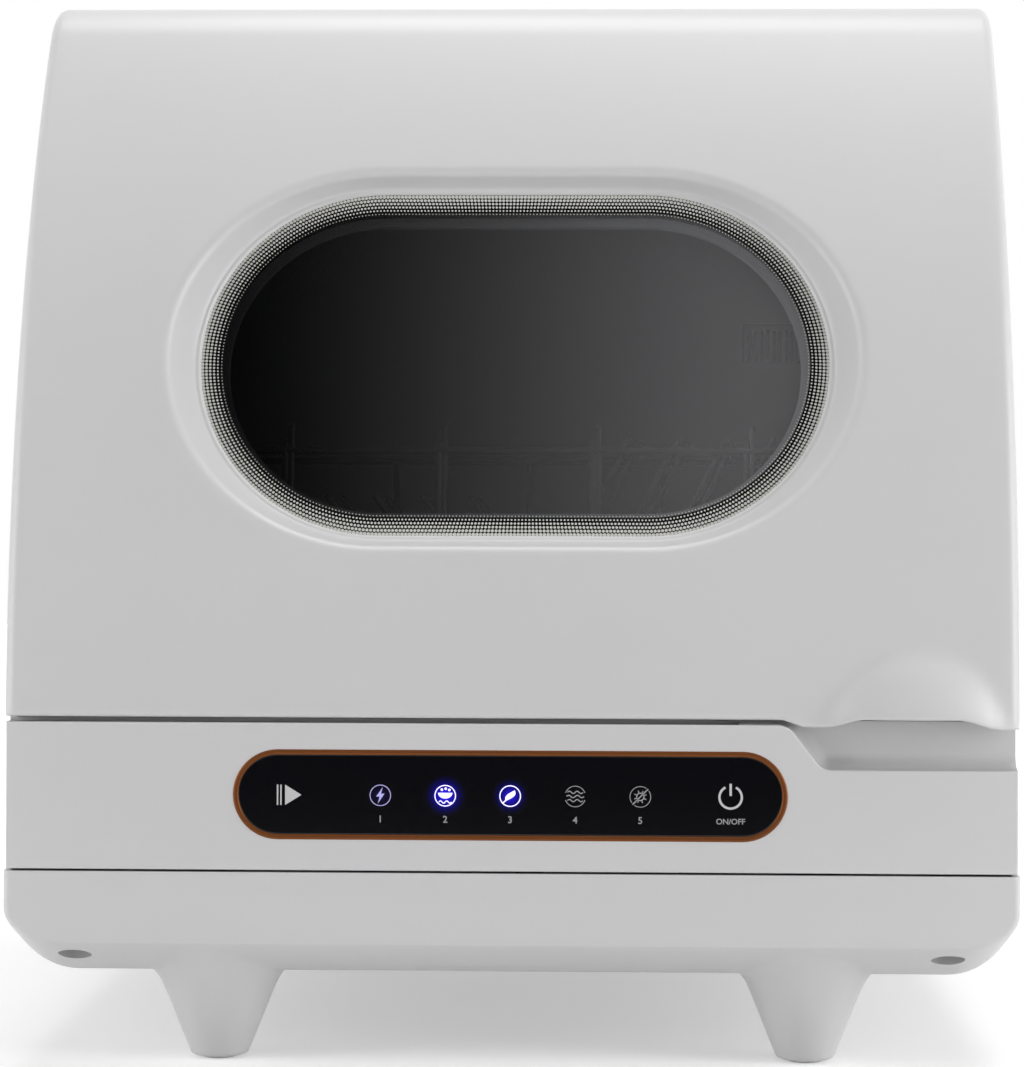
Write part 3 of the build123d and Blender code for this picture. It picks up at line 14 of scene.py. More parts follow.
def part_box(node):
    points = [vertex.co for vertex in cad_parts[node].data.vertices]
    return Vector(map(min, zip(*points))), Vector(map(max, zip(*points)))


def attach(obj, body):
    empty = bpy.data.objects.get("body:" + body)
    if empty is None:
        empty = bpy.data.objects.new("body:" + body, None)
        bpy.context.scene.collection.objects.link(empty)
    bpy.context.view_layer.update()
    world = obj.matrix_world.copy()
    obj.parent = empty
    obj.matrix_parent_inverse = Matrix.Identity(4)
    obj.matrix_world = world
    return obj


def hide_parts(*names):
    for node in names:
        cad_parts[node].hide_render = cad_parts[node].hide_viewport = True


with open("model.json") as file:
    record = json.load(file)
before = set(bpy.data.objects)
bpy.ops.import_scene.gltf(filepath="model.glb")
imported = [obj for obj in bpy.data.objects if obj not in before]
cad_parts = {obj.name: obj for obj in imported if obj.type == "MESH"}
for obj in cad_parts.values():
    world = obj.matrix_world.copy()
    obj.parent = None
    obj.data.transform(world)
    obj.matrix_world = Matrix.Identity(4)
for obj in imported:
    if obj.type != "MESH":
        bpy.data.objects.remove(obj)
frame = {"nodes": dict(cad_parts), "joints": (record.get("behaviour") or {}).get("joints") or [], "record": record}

LOG = logging.getLogger("dishwasher")
MM = 0.001
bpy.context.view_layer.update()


# ---------------------------------------------------------------- shader helpers
def linear(hex_colour: str, alpha: float = 1.0) -> tuple[float, float, float, float]:
    """Turns an sRGB hex colour into Blender's linear values.

    Args:
        hex_colour: Six hex digits after a hash sign.
        alpha: Opacity to append.

    Returns:
        Red, green, blue and alpha, linear.
    """
    digits = hex_colour.lstrip("#")
    levels = [int(digits[i:i + 2], 16) / 255 for i in (0, 2, 4)]
    red, green, blue = (v / 12.92 if v <= 0.04045 else ((v + 0.055) / 1.055) ** 2.4 for v in levels)
    return (red, green, blue, alpha)


def add_node(tree: bpy.types.NodeTree, kind: str, values: dict | None = None, **settings) -> bpy.types.Node:
    """Adds a shader node with its settings, constants and links.

    Args:
        tree: Tree that gets the node.
        kind: Blender's identifier of the node.
        values: Input name or index to a constant, or to the output socket that feeds it.
        **settings: Properties of the node.

    Returns:
        The new node.
    """
    node = tree.nodes.new(kind)
    for name, value in settings.items():
        setattr(node, name, value)
    for key, value in (values or {}).items():
        if isinstance(value, bpy.types.NodeSocket):
            tree.links.new(value, node.inputs[key])
        else:
            node.inputs[key].default_value = value
    return node


def new_tree(name: str) -> tuple[bpy.types.Material, bpy.types.NodeTree, bpy.types.Node, bpy.types.NodeSocket]:
    """Starts a material whose output is fed by a Principled shader.

    Args:
        name: Name of the material.

    Returns:
        Material, tree, shader and the Object coordinate socket.
    """
    material = bpy.data.materials.new(name)
    material.use_nodes = True
    tree = material.node_tree
    tree.nodes.clear()
    shader = add_node(tree, "ShaderNodeBsdfPrincipled")
    add_node(tree, "ShaderNodeOutputMaterial", {"Surface": shader.outputs[0]})
    place = add_node(tree, "ShaderNodeTexCoord").outputs["Object"]
    return material, tree, shader, place


# ---------------------------------------------------------------- finishes
class Grain(Enum):
    """How the surface of a finish was made."""

    MOULDED = "moulded"
    BRUSHED = "brushed"
    ROLLED = "rolled"


@dataclass(frozen=True)
class Finish:
    """A finish with its colour, wear and micro relief.

    Attributes:
        name: What the real material is.
        colour: Main colour, sRGB.
        shade: Second colour of the slow variation, sRGB.
        roughness: Middle roughness.
        spread: How far roughness varies.
        grain: How its surface was made.
        pitch_mm: Size of the relief.
        relief_mm: Depth of the relief.
        metallic: 1 for bare metal.
        ior: Refraction of a plastic, glass or rubber.
        coat: Strength of a clear coat.
        sheen: Strength of a dusty sheen.
        passes: How much light passes straight through, for milky plastic.
    """

    name: str
    colour: str
    shade: str
    roughness: float = 0.5
    spread: float = 0.06
    grain: Grain = Grain.MOULDED
    pitch_mm: float = 1.2
    relief_mm: float = 0.02
    metallic: float = 0.0
    ior: float = 1.5
    coat: float = 0.0
    sheen: float = 0.0
    passes: float = 0.0

    def build(self) -> bpy.types.Material:
        """Makes the node material.

        Returns:
            The finished material.
        """
        material, tree, shader, place = new_tree(self.name)
        stretch = {Grain.MOULDED: (1, 1, 1), Grain.BRUSHED: (0.04, 1, 1), Grain.ROLLED: (1, 0.15, 1)}[self.grain]
        turned = add_node(tree, "ShaderNodeMapping", {"Vector": place, "Scale": stretch}).outputs[0]
        fine = add_node(
            tree, "ShaderNodeTexNoise",
            {"Vector": turned, "Scale": 1.0 / (self.pitch_mm * MM), "Detail": 3.0, "Roughness": 0.55},
        )
        slow = add_node(tree, "ShaderNodeTexNoise", {"Vector": place, "Scale": 9.0, "Detail": 2.0})
        mixed = add_node(
            tree, "ShaderNodeMix",
            {"Factor": slow.outputs["Fac"], 6: linear(self.colour), 7: linear(self.shade)},
            data_type="RGBA",
        )
        rough = add_node(
            tree, "ShaderNodeMapRange",
            {"Value": fine.outputs["Fac"], "To Min": self.roughness - self.spread,
             "To Max": self.roughness + self.spread},
        )
        bump = add_node(
            tree, "ShaderNodeBump",
            {"Height": fine.outputs["Fac"], "Distance": self.relief_mm * MM, "Strength": 1.0},
        )
        tree.links.new(mixed.outputs[2], shader.inputs["Base Color"])
        tree.links.new(rough.outputs[0], shader.inputs["Roughness"])
        tree.links.new(bump.outputs[0], shader.inputs["Normal"])
        shader.inputs["Metallic"].default_value = self.metallic
        if self.metallic < 0.5:
            shader.inputs["IOR"].default_value = self.ior
        shader.inputs["Coat Weight"].default_value = self.coat
        shader.inputs["Coat Roughness"].default_value = 0.06
        shader.inputs["Sheen Weight"].default_value = self.sheen
        shader.inputs["Transmission Weight"].default_value = self.passes
        return material


FINISHES = {
    # Injection-moulded ABS with a fine spark-eroded grain: satin, with broad soft highlights.
    "case_plastic": Finish("abs_spark_eroded_white", "#DCDBDC", "#D8D7D8", 0.40, 0.05, pitch_mm=0.7, relief_mm=0.012,
                           ior=1.52),
    # Moulded grey silicone: dull and slightly soft at its edges.
    "pad_rubber": Finish("silicone_moulded_grey", "#AFAFAE", "#A6A6A5", 0.70, 0.08, pitch_mm=0.9, relief_mm=0.03),
    # Zinc-plated steel, turned: bright with fine rings.
    "screw_steel": Finish("zinc_plated_steel", "#B9BCBF", "#A9ACB0", 0.32, 0.08, pitch_mm=0.5, relief_mm=0.006,
                          metallic=1.0),
    # Back-printed acrylic panel: deep black under a glossy face.
    "key_glass": Finish("acrylic_back_printed_black", "#0B0A0E", "#0D0C11", 0.10, 0.03, pitch_mm=2.5,
                        relief_mm=0.002, ior=1.49),
    # Copper-coloured lacquer over a moulded ring: warm satin metal.
    "rim_copper": Finish("copper_lacquered_ring", "#7A4824", "#6A3C1D", 0.38, 0.05, pitch_mm=0.8, relief_mm=0.006,
                         metallic=0.85),
    # Glass-epoxy board under green solder lacquer.
    "circuit_board": Finish("glass_epoxy_board", "#1D5B36", "#174B2C", 0.35, 0.08, pitch_mm=1.0, relief_mm=0.02),
    "spring_steel": Finish("spring_steel_wire", "#A8A9AB", "#97989B", 0.28, 0.05, pitch_mm=0.6, metallic=1.0),
    # Polypropylene with mineral filling: dark grey, waxy and even.
    "tub_plastic": Finish("polypropylene_filled_grey", "#ABACAF", "#A4A5A9", 0.46, 0.06, pitch_mm=1.4,
                          relief_mm=0.015, ior=1.49),
    # Extruded silicone: black, slightly dusty.
    "seal_rubber": Finish("silicone_extruded_black", "#151516", "#1B1B1D", 0.62, 0.08, pitch_mm=1.2, relief_mm=0.02,
                          ior=1.41, sheen=0.1),
    # Nylon powder fused on steel wire: dark, softly glossy, slightly orange-peeled.
    "rack_coating": Finish("nylon_dipped_wire", "#28282B", "#222226", 0.36, 0.06, pitch_mm=1.6, relief_mm=0.03,
                           ior=1.53),
    # Incoloy tube after many heat cycles: dull, with straw and blue patches.
    "heater_steel": Finish("heated_steel_tube", "#8E8A84", "#6F6A66", 0.42, 0.12, grain=Grain.BRUSHED, pitch_mm=0.8,
                           metallic=1.0),
    # Galvanised sheet: spangled and dull.
    "frame_steel": Finish("galvanised_sheet", "#9FA3A6", "#8B9094", 0.40, 0.10, grain=Grain.ROLLED, pitch_mm=4.0,
                          relief_mm=0.01, metallic=1.0),
    # Glass-filled nylon: dark, slightly fibrous.
    "pump_plastic": Finish("nylon_glass_filled", "#3B3C40", "#323338", 0.50, 0.08, pitch_mm=1.0, relief_mm=0.03,
                           ior=1.53),
    # Stove-enamelled motor can.
    "motor_steel": Finish("enamelled_motor_can", "#6F7377", "#64686C", 0.38, 0.06, pitch_mm=1.5, relief_mm=0.01),
    # Extruded rubber hose: dull black.
    "hose_rubber": Finish("epdm_hose", "#222223", "#2A2A2B", 0.70, 0.08, pitch_mm=1.0, relief_mm=0.04),
    # Blow-moulded polypropylene: milky.
    "tank_plastic": Finish("polypropylene_natural", "#D3D7DA", "#C8CDD1", 0.42, 0.06, pitch_mm=2.5, relief_mm=0.03,
                           ior=1.49, passes=0.25),
    # Turned brass fitting.
    "inlet_brass": Finish("turned_brass", "#B99453", "#A98444", 0.30, 0.06, grain=Grain.BRUSHED, pitch_mm=0.5,
                          metallic=1.0),
}


def smoked_glass() -> bpy.types.Material:
    """Toughened smoked glass, dark and glossy, the inside showing faintly; its colour carries a painted reflection,
    near black on the left and light grey on the right, and it lets more through on the right.
    """
    material, tree, shader, place = new_tree("smoked_glass_toughened")
    waves = add_node(tree, "ShaderNodeTexNoise", {"Vector": place, "Scale": 14.0, "Detail": 1.0})
    bump = add_node(tree, "ShaderNodeBump", {"Height": waves.outputs["Fac"], "Distance": 0.02 * MM})
    tree.links.new(bump.outputs[0], shader.inputs["Normal"])
    # Painted reflection: colour painted from near black on the left to light grey on the right, and the glass lets
    # more through on the right, standing in for light falling on it.
    axes = add_node(tree, "ShaderNodeSeparateXYZ", {"Vector": place})
    across = add_node(tree, "ShaderNodeMapRange", {"Value": axes.outputs["X"], "From Min": -0.13, "From Max": 0.13})
    painted_reflection_ramp = add_node(tree, "ShaderNodeMath", {0: across.outputs[0], 1: 2.2}, operation="POWER")
    tint = add_node(
        tree, "ShaderNodeMix", {"Factor": painted_reflection_ramp.outputs[0], 6: linear("#050506"), 7: linear("#A2A2A4")},
        data_type="RGBA",
    )
    tree.links.new(tint.outputs[2], shader.inputs["Base Color"])
    painted_reflection_opacity = add_node(tree, "ShaderNodeMapRange", {"Value": across.outputs[0], "To Min": 0.62, "To Max": 0.24})
    tree.links.new(painted_reflection_opacity.outputs[0], shader.inputs["Alpha"])
    shader.inputs["Roughness"].default_value = 0.03
    shader.inputs["IOR"].default_value = 1.52
    return material


# ---------------------------------------------------------------- camera and studio
@dataclass
class Studio:
    """Camera, floor, background and lamps.

    Attributes:
        camera_place: Where the camera stands, in metres.
        lens_mm: Focal length on a 36 mm sensor.
        turn_deg: Turn of the camera about the vertical.
        roll_deg: Roll of the camera about its line of sight.
        rise: Shift of the frame, as a share of its width.
        table_glow: Light that the white table gives from below.
    """

    camera_place: tuple[float, float, float] = (0.039, -1.506, 0.2227)
    lens_mm: float = 106.5
    turn_deg: float = 1.693
    roll_deg: float = -0.2
    rise: float = -0.0009
    table_glow: float = 0.0

    def add_camera(self) -> None:
        """Puts the camera where the photograph was taken from."""
        data = bpy.data.cameras.new("studio_camera")
        data.lens = self.lens_mm
        data.shift_y = self.rise
        data.clip_end = 50.0
        camera = bpy.data.objects.new("studio_camera", data)
        camera.location = self.camera_place
        camera.rotation_euler = (math.radians(90), math.radians(self.roll_deg), math.radians(self.turn_deg))
        bpy.context.scene.collection.objects.link(camera)
        bpy.context.scene.camera = camera

    def add_floor(self) -> None:
        """Adds the pale floor that keeps the object's shadow."""
        mesh = bmesh.new()
        bmesh.ops.create_grid(mesh, x_segments=1, y_segments=1, size=6.0)
        data = bpy.data.meshes.new("floor")
        mesh.to_mesh(data)
        mesh.free()
        floor = bpy.data.objects.new("floor", data)
        bpy.context.scene.collection.objects.link(floor)
        material, tree, shader, place = new_tree("matt_white_paint")
        tone = add_node(tree, "ShaderNodeTexNoise", {"Vector": place, "Scale": 3.0})
        colour = add_node(
            tree, "ShaderNodeMix", {"Factor": tone.outputs["Fac"], 6: linear("#F7F7F7"), 7: linear("#F5F5F5")},
            data_type="RGBA",
        )
        tree.links.new(colour.outputs[2], shader.inputs["Base Color"])
        shader.inputs["Roughness"].default_value = 0.9
        shader.inputs["Emission Color"].default_value = (1, 1, 1, 1)
        seen = self.seen_ray(tree)
        away = add_node(tree, "ShaderNodeVectorMath", {0: place}, operation="LENGTH")
        level = add_node(tree, "ShaderNodeMapRange",
                         {"Value": away.outputs["Value"], "From Min": 0.5, "From Max": 1.6, "To Min": 0.36, "To Max": 1.0})
        glow = add_node(tree, "ShaderNodeMapRange",
                        {"Value": seen, "To Min": self.table_glow, "To Max": level.outputs[0]})
        tree.links.new(glow.outputs[0], shader.inputs["Emission Strength"])
        data.materials.append(material)

    @staticmethod
    def seen_ray(tree: bpy.types.NodeTree) -> bpy.types.NodeSocket:
        """Gives 1 for rays from the camera, from gloss and through glass."""
        path = add_node(tree, "ShaderNodeLightPath")
        both = add_node(
            tree, "ShaderNodeMath",
            {0: path.outputs["Is Camera Ray"], 1: path.outputs["Is Glossy Ray"]}, operation="MAXIMUM",
        )
        every = add_node(
            tree, "ShaderNodeMath",
            {0: both.outputs[0], 1: path.outputs["Is Transmission Ray"]}, operation="MAXIMUM",
        )
        return every.outputs[0]

    def add_world(self, ambient: float = 0.23) -> None:
        """Sets the white background and the soft light all round.

        Args:
            ambient: Strength of the light from all sides.
        """
        world = bpy.data.worlds.new("studio_world")
        world.use_nodes = True
        tree = world.node_tree
        tree.nodes.clear()
        level = add_node(
            tree, "ShaderNodeMapRange", {"Value": self.seen_ray(tree), "To Min": ambient, "To Max": 1.0}
        )
        back = add_node(
            tree, "ShaderNodeBackground", {"Color": (1, 1, 1, 1), "Strength": level.outputs[0]}
        )
        add_node(tree, "ShaderNodeOutputWorld", {"Surface": back.outputs[0]})
        bpy.context.scene.world = world

    def add_lamps(self) -> None:
        """Hangs a softbox overhead and stands one at each side."""
        lamps = (
            ("softbox_top", (0.1, 0.1, 2.0), (0.0, -0.1, 0.3), (1.3, 0.9), 18.5),
            ("softbox_right", (1.6, -0.75, 0.5), (0.0, -0.1, 0.28), (0.8, 1.2), 16.5),
            ("softbox_left", (-1.6, -0.75, 0.5), (0.0, -0.1, 0.28), (0.8, 1.2), 13.0),
        )
        for name, place, aim, size, power in lamps:
            data = bpy.data.lights.new(name, "AREA")
            data.shape = "RECTANGLE"
            data.size, data.size_y = size
            data.energy = power
            lamp = bpy.data.objects.new(name, data)
            lamp.location = place
            lamp.rotation_euler = (Vector(aim) - Vector(place)).to_track_quat("-Z", "Y").to_euler()
            bpy.context.scene.collection.objects.link(lamp)

    def add_card(self, name: str, centre: tuple[float, float, float], size: tuple[float, float],
                 levels: tuple[float, float], span: tuple[float, float]) -> None:
        """Stands an upright card in front that only shows in reflections.

        Args:
            name: Name of the card.
            centre: Its middle.
            size: Its width and height.
            levels: Brightness at its left and right.
            span: Where across the brightness rises.
        """
        mesh = bmesh.new()
        bmesh.ops.create_grid(mesh, x_segments=1, y_segments=1, size=0.5)
        bmesh.ops.scale(mesh, verts=mesh.verts, vec=(size[0], size[1], 1))
        bmesh.ops.rotate(mesh, verts=mesh.verts, matrix=Matrix.Rotation(math.radians(90), 3, "X"))
        bmesh.ops.translate(mesh, verts=mesh.verts, vec=centre)
        data = bpy.data.meshes.new(name)
        mesh.to_mesh(data)
        mesh.free()
        card = bpy.data.objects.new(name, data)
        bpy.context.scene.collection.objects.link(card)
        material, tree, shader, place = new_tree(name + "_paper")
        axes = add_node(tree, "ShaderNodeSeparateXYZ", {"Vector": place})
        rise = add_node(tree, "ShaderNodeMapRange",
                        {"Value": axes.outputs["X"], "From Min": span[0], "From Max": span[1]})
        curve = add_node(tree, "ShaderNodeMath", {0: rise.outputs[0], 1: 2.3}, operation="POWER")
        level = add_node(tree, "ShaderNodeMapRange",
                         {"Value": curve.outputs[0], "To Min": levels[0], "To Max": levels[1]})
        shader.inputs["Base Color"].default_value = (0, 0, 0, 1)
        shader.inputs["Specular IOR Level"].default_value = 0.0
        shader.inputs["Emission Color"].default_value = (1, 1, 1, 1)
        tree.links.new(level.outputs[0], shader.inputs["Emission Strength"])
        data.materials.append(material)
        card.visible_camera = card.visible_diffuse = card.visible_transmission = False
        card.visible_shadow = card.visible_volume_scatter = False

    def build(self) -> None:
        """Builds the whole studio."""
        bpy.context.scene.view_settings.view_transform = "Standard"
        self.add_card("flag_low", (0.0, -0.95, 0.11), (0.9, 0.22), (0.02, 0.02), (-1.0, 1.0))
        self.add_card("flag_high", (0.0, -0.95, 0.98), (0.9, 0.5), (0.02, 0.02), (-1.0, 1.0))
        self.add_camera()
        self.add_floor()
        self.add_world()
        self.add_lamps()


# ---------------------------------------------------------------- mesh helpers
def finish_piece(mesh: bmesh.types.BMesh, name: str, body: str, material: bpy.types.Material,
                 nodes: Sequence[str] = (), sharp_deg: float = 34.0,
                 modifiers: Sequence[tuple[str, dict]] = ()) -> bpy.types.Object:
    """Turns a bmesh into a finished piece that rides on a body.

    Args:
        mesh: Shape in place; it is freed.
        name: Name of the piece.
        body: Body that it rides on.
        material: Its material.
        nodes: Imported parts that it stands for.
        sharp_deg: Angle above which an edge is shown sharp.
        modifiers: Kind and settings of each modifier, which is applied at once.

    Returns:
        The new object.
    """
    bmesh.ops.remove_doubles(mesh, verts=mesh.verts, dist=2e-6)
    data = bpy.data.meshes.new(name)
    mesh.to_mesh(data)
    mesh.free()
    piece = bpy.data.objects.new(name, data)
    bpy.context.scene.collection.objects.link(piece)
    for kind, values in modifiers:
        modifier = piece.modifiers.new(kind.lower(), kind)
        for key, value in values.items():
            setattr(modifier, key, value)
    if modifiers:
        graph = bpy.context.evaluated_depsgraph_get()
        solid = bpy.data.meshes.new_from_object(piece.evaluated_get(graph))
        piece.modifiers.clear()
        piece.data = solid
    piece.data.shade_smooth()
    piece.data.set_sharp_from_angle(angle=math.radians(sharp_deg))
    piece.data.materials.clear()
    piece.data.materials.append(material)
    if nodes:
        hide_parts(*nodes)
    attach(piece, body)
    LOG.info("%s rides on %s, %d faces", name, body, len(piece.data.polygons))
    return piece


def extend_rim(mesh: bmesh.types.BMesh, loop: list[bmesh.types.BMVert],
               places: Sequence[Vector], closed: bool = True) -> list[bmesh.types.BMVert]:
    """Extrudes a row of vertices to new places.

    Args:
        mesh: Mesh that grows.
        loop: Row of vertices in order.
        places: One new place for each vertex.
        closed: Whether the last vertex is joined to the first.

    Returns:
        The new row, in the same order.
    """
    count = len(loop)
    pairs = [(loop[i], loop[(i + 1) % count]) for i in range(count if closed else count - 1)]
    edges = [mesh.edges.get(pair) or mesh.edges.new(pair) for pair in pairs]
    grown = bmesh.ops.extrude_edge_only(mesh, edges=edges)["geom"]
    fresh = {v for v in grown if isinstance(v, bmesh.types.BMVert)}
    row = []
    for vert in loop:
        partner = next(e.other_vert(vert) for e in vert.link_edges if e.other_vert(vert) in fresh)
        row.append(partner)
    for vert, place in zip(row, places):
        vert.co = place
    return row


def arc_angles(start: float, end: float, steps: int) -> list[float]:
    """Evenly spaced angles, both ends included, in degrees turned to radians."""
    return [math.radians(start + (end - start) * i / steps) for i in range(steps + 1)]


def oval_points(half_straight: float, radius: float, arc_steps: int, line_steps: int) -> list[tuple[float, float, float]]:
    """Points round an oval: two half circles joined by straights.

    Args:
        half_straight: Half the length of a straight.
        radius: Radius of the round ends.
        arc_steps: Steps on each round end.
        line_steps: Steps on each straight.

    Returns:
        For each point the sign of its end (or its share along the straight), and the
        cosine and sine of its outward direction.
    """
    points = []
    for turn in arc_angles(-90, 90, arc_steps)[:-1]:
        points.append((1.0, math.cos(turn), math.sin(turn)))
    points += [(1.0 - 2.0 * i / line_steps, 0.0, 1.0) for i in range(line_steps)]
    for turn in arc_angles(90, 270, arc_steps)[:-1]:
        points.append((-1.0, math.cos(turn), math.sin(turn)))
    points += [(-1.0 + 2.0 * i / line_steps, 0.0, -1.0) for i in range(line_steps)]
    return points


# ---------------------------------------------------------------- hood
@dataclass
class Hood:
    """Swing-up hood: one bowed and rolled sheet with a window recess and a hand pull.

    The sheet is laid out flat, with x across and the distance along the side
    outline upwards, and then wrapped round the outline.
    """

    bow_radius: float = 0.560
    bow_level: float = 0.120
    top_round: float = 0.038
    roll_radius: float = 0.010
    edge_round: float = 0.005
    foot: float = 0.1322
    cell: float = 0.004
    wall: float = 0.0026
    glass_size: tuple[float, float] = (0.2725, 0.1605)
    recess_slopes_deg: tuple[float, float] = (32.0, 27.0)
    recess_skew_deg: float = 9.4
    recess_round: float = 0.0038
    window_level: float = 0.3008
    window_sink: float = 0.0166
    pull_x: float = 0.167
    pull_level: float = 0.1366
    pull_radius: float = 0.0378
    pull_height: float = 0.0110
    pull_power: float = 2.6
    pull_blend: float = 0.0018
    lip_round: float = 0.0016
    lip_curve: tuple[tuple[float, float], ...] = (
        (0.1115, 0.1459), (0.1215, 0.1430), (0.1305, 0.1430), (0.1450, 0.1465), (0.1835, 0.1465),
        (0.2010, 0.1424), (0.2100, 0.1423),
    )
    collar: float = 0.0012
    material: bpy.types.Material | None = None

    def __post_init__(self) -> None:
        """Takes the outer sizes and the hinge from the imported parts."""
        low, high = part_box("door_shell")
        self.half = high.x
        self.top = high.z
        self.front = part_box("front_fascia")[0].y
        joint = next(j for j in frame["joints"] if j["name"] == "hood_hinge")
        self.hinge = Vector(joint["pos_m"])
        self.bow_centre = self.front + self.bow_radius
        reach = self.bow_radius - self.top_round
        self.turn_z = self.top - self.top_round
        self.turn_y = self.bow_centre - math.sqrt(reach ** 2 - (self.turn_z - self.bow_level) ** 2)
        self.lean = math.asin((self.turn_z - self.bow_level) / reach)
        self.start = math.asin((self.foot - self.bow_level) / self.bow_radius)
        self.lengths = (
            self.bow_radius * (self.lean - self.start),
            self.top_round * (math.pi / 2 - self.lean),
            self.hinge.y - self.turn_y,
            self.roll_radius * math.pi / 2,
        )
        self.skirt_start, lowest = self.lip_curve[0]
        self.split_foot = lowest + self.lip_round
        base_y = self.bow_centre - math.sqrt(self.bow_radius ** 2 - (self.split_foot - self.bow_level) ** 2)
        self.split_start = Vector((base_y, self.split_foot))
        tilt = math.asin((self.window_level - self.bow_level) / self.bow_radius)
        deep = self.bow_radius - self.window_sink
        self.window = Vector((0, self.bow_centre - deep * math.cos(tilt), self.bow_level + deep * math.sin(tilt)))
        self.window_out = Vector((0, -math.cos(tilt), math.sin(tilt)))
        self.window_up = Vector((0, math.sin(tilt), math.cos(tilt)))

    def outline(self, along: float) -> tuple[Vector, Vector]:
        """Point and outward normal of the side outline.

        Args:
            along: Distance from the foot.

        Returns:
            Point and normal in (y, z).
        """
        bow, turn, flat, _ = self.lengths
        if along < bow:
            angle = self.start + along / self.bow_radius
            out = Vector((-math.cos(angle), math.sin(angle)))
            return Vector((self.bow_centre, self.bow_level)) + out * self.bow_radius, out
        if along < bow + turn:
            angle = self.lean + (along - bow) / self.top_round
            out = Vector((-math.cos(angle), math.sin(angle)))
            return Vector((self.turn_y, self.turn_z)) + out * self.top_round, out
        if along < bow + turn + flat:
            return Vector((self.turn_y + along - bow - turn, self.top)), Vector((0, 1))
        angle = (along - bow - turn - flat) / self.roll_radius
        out = Vector((math.sin(angle), math.cos(angle)))
        return Vector((self.hinge.y, self.hinge.z)) + out * self.roll_radius, out

    def along_of(self, level: float) -> float:
        """Distance along the bow of a point at this height."""
        return self.bow_radius * (math.asin((level - self.bow_level) / self.bow_radius) - self.start)

    def foot_level(self, x: float) -> float:
        """Height at which the lower edge starts to round; it arches over the fingertips."""
        if x <= self.skirt_start:
            return self.split_foot
        for (x0, z0), (x1, z1) in zip(self.lip_curve, self.lip_curve[1:]):
            if x0 <= x <= x1:
                share = (x - x0) / (x1 - x0)
                return z0 + (z1 - z0) * share * share * (3 - 2 * share) + self.lip_round
        return self.lip_curve[-1][1] + self.lip_round

    def wrap(self, across: float, along: float) -> Vector:
        """Place of a point of the flat sheet on the hood.

        Args:
            across: Distance from the middle, measured over the rounded edge.
            along: Distance from the foot, along the side outline.

        Returns:
            The point in space.
        """
        side = math.copysign(1.0, across)
        straight = self.half - self.edge_round
        turn = max(abs(across) - straight, 0.0) / self.edge_round
        x = side * (min(abs(across), straight) + self.edge_round * math.sin(turn))
        point, out = self.outline(along)
        point = point - out * self.edge_round * (1 - math.cos(turn))
        y, z = point
        gap = Vector((x - self.pull_x, z - self.pull_level)).length
        if gap < self.pull_radius * 1.3:
            rise = self.pull_height * (1 - (gap / self.pull_radius) ** self.pull_power)
            mix = max(self.pull_blend - abs(rise), 0.0) / self.pull_blend
            y -= max(rise, 0.0) + mix * mix * self.pull_blend / 4
        return Vector((x, y, z))

    def recess_point(self, end: float, cosine: float, sine: float, depth: float, grow: float = 0.0) -> Vector:
        """Point on the sloping wall of the window recess.

        Args:
            end: Share along the straight, or the sign of the round end.
            cosine: Across part of the outward direction.
            sine: Upward part of the outward direction.
            depth: Height above the window plane.
            grow: Extra distance outwards in the plane.

        Returns:
            The point in space.
        """
        side, top = (math.tan(math.radians(a)) for a in self.recess_slopes_deg)
        radius = self.glass_size[1] / 2 + depth * top + grow
        straight = self.glass_size[0] / 2 + depth * side + grow - radius
        across = end * straight + radius * cosine
        level = radius * sine - depth * math.tan(math.radians(self.recess_skew_deg))
        return self.window + Vector((across, 0, 0)) + self.window_up * level + self.window_out * depth

    def depth_to_bow(self, end: float, cosine: float, sine: float) -> float:
        """Height above the window plane at which the slope meets the bow."""
        low, high = 0.0, 0.05
        for _ in range(36):
            middle = (low + high) / 2
            point = self.recess_point(end, cosine, sine, middle)
            inside = math.hypot(point.y - self.bow_centre, point.z - self.bow_level) < self.bow_radius
            low, high = (middle, high) if inside else (low, middle)
        return low

    def sheet_place(self, point: Vector) -> Vector:
        """Flat place of a point on the bow."""
        angle = math.asin((point.z - self.bow_level) / self.bow_radius)
        return Vector((point.x, self.bow_radius * (angle - self.start), 0))

    def grid_lines(self) -> tuple[list[float], list[float]]:
        """Cells of the flat sheet, narrower where it is round.

        Returns:
            Lines across and lines along.
        """
        straight = self.half - self.edge_round
        arc = self.edge_round * math.pi / 2
        count = round(2 * straight / self.cell)
        across = [-straight + 2 * straight * i / count for i in range(count + 1)]
        rounds = [arc * (i + 1) / 7 for i in range(7)]
        across = [-straight - r for r in reversed(rounds)] + across + [straight + r for r in rounds]
        along, done = [0.0], 0.0
        for length, steps in zip(self.lengths, (round(self.lengths[0] / self.cell), 16, 30, 9)):
            along += [done + length * (i + 1) / steps for i in range(steps)]
            done += length
        return across, along

    def flat_sheet(self, mesh: bmesh.types.BMesh, hole: list[Vector]) -> list[bmesh.types.BMVert]:
        """Lays out the sheet with a hole for the recess.

        Args:
            mesh: Empty mesh that gets the sheet.
            hole: Flat outline of the hole.

        Returns:
            The vertices of the hole's outline, in order.
        """
        across, along = self.grid_lines()
        bmesh.ops.create_grid(mesh, x_segments=len(across) - 1, y_segments=len(along) - 1, size=1.0)
        full = sum(self.lengths)
        for vert in mesh.verts:
            column = round((vert.co.x + 1) / 2 * (len(across) - 1))
            row = round((vert.co.y + 1) / 2 * (len(along) - 1))
            low = self.along_of(self.foot_level(across[column]))
            fade = max(1 - along[row] / (self.lengths[0] * 0.35), 0.0)
            vert.co = Vector((across[column], along[row] + low * fade if row else low, 0))
        middle = sum(hole, Vector()) / len(hole)
        margin = self.cell * 1.6
        reach = [(p - middle).length + margin for p in hole]
        turns = [math.atan2(p.y - middle.y, p.x - middle.x) for p in hole]

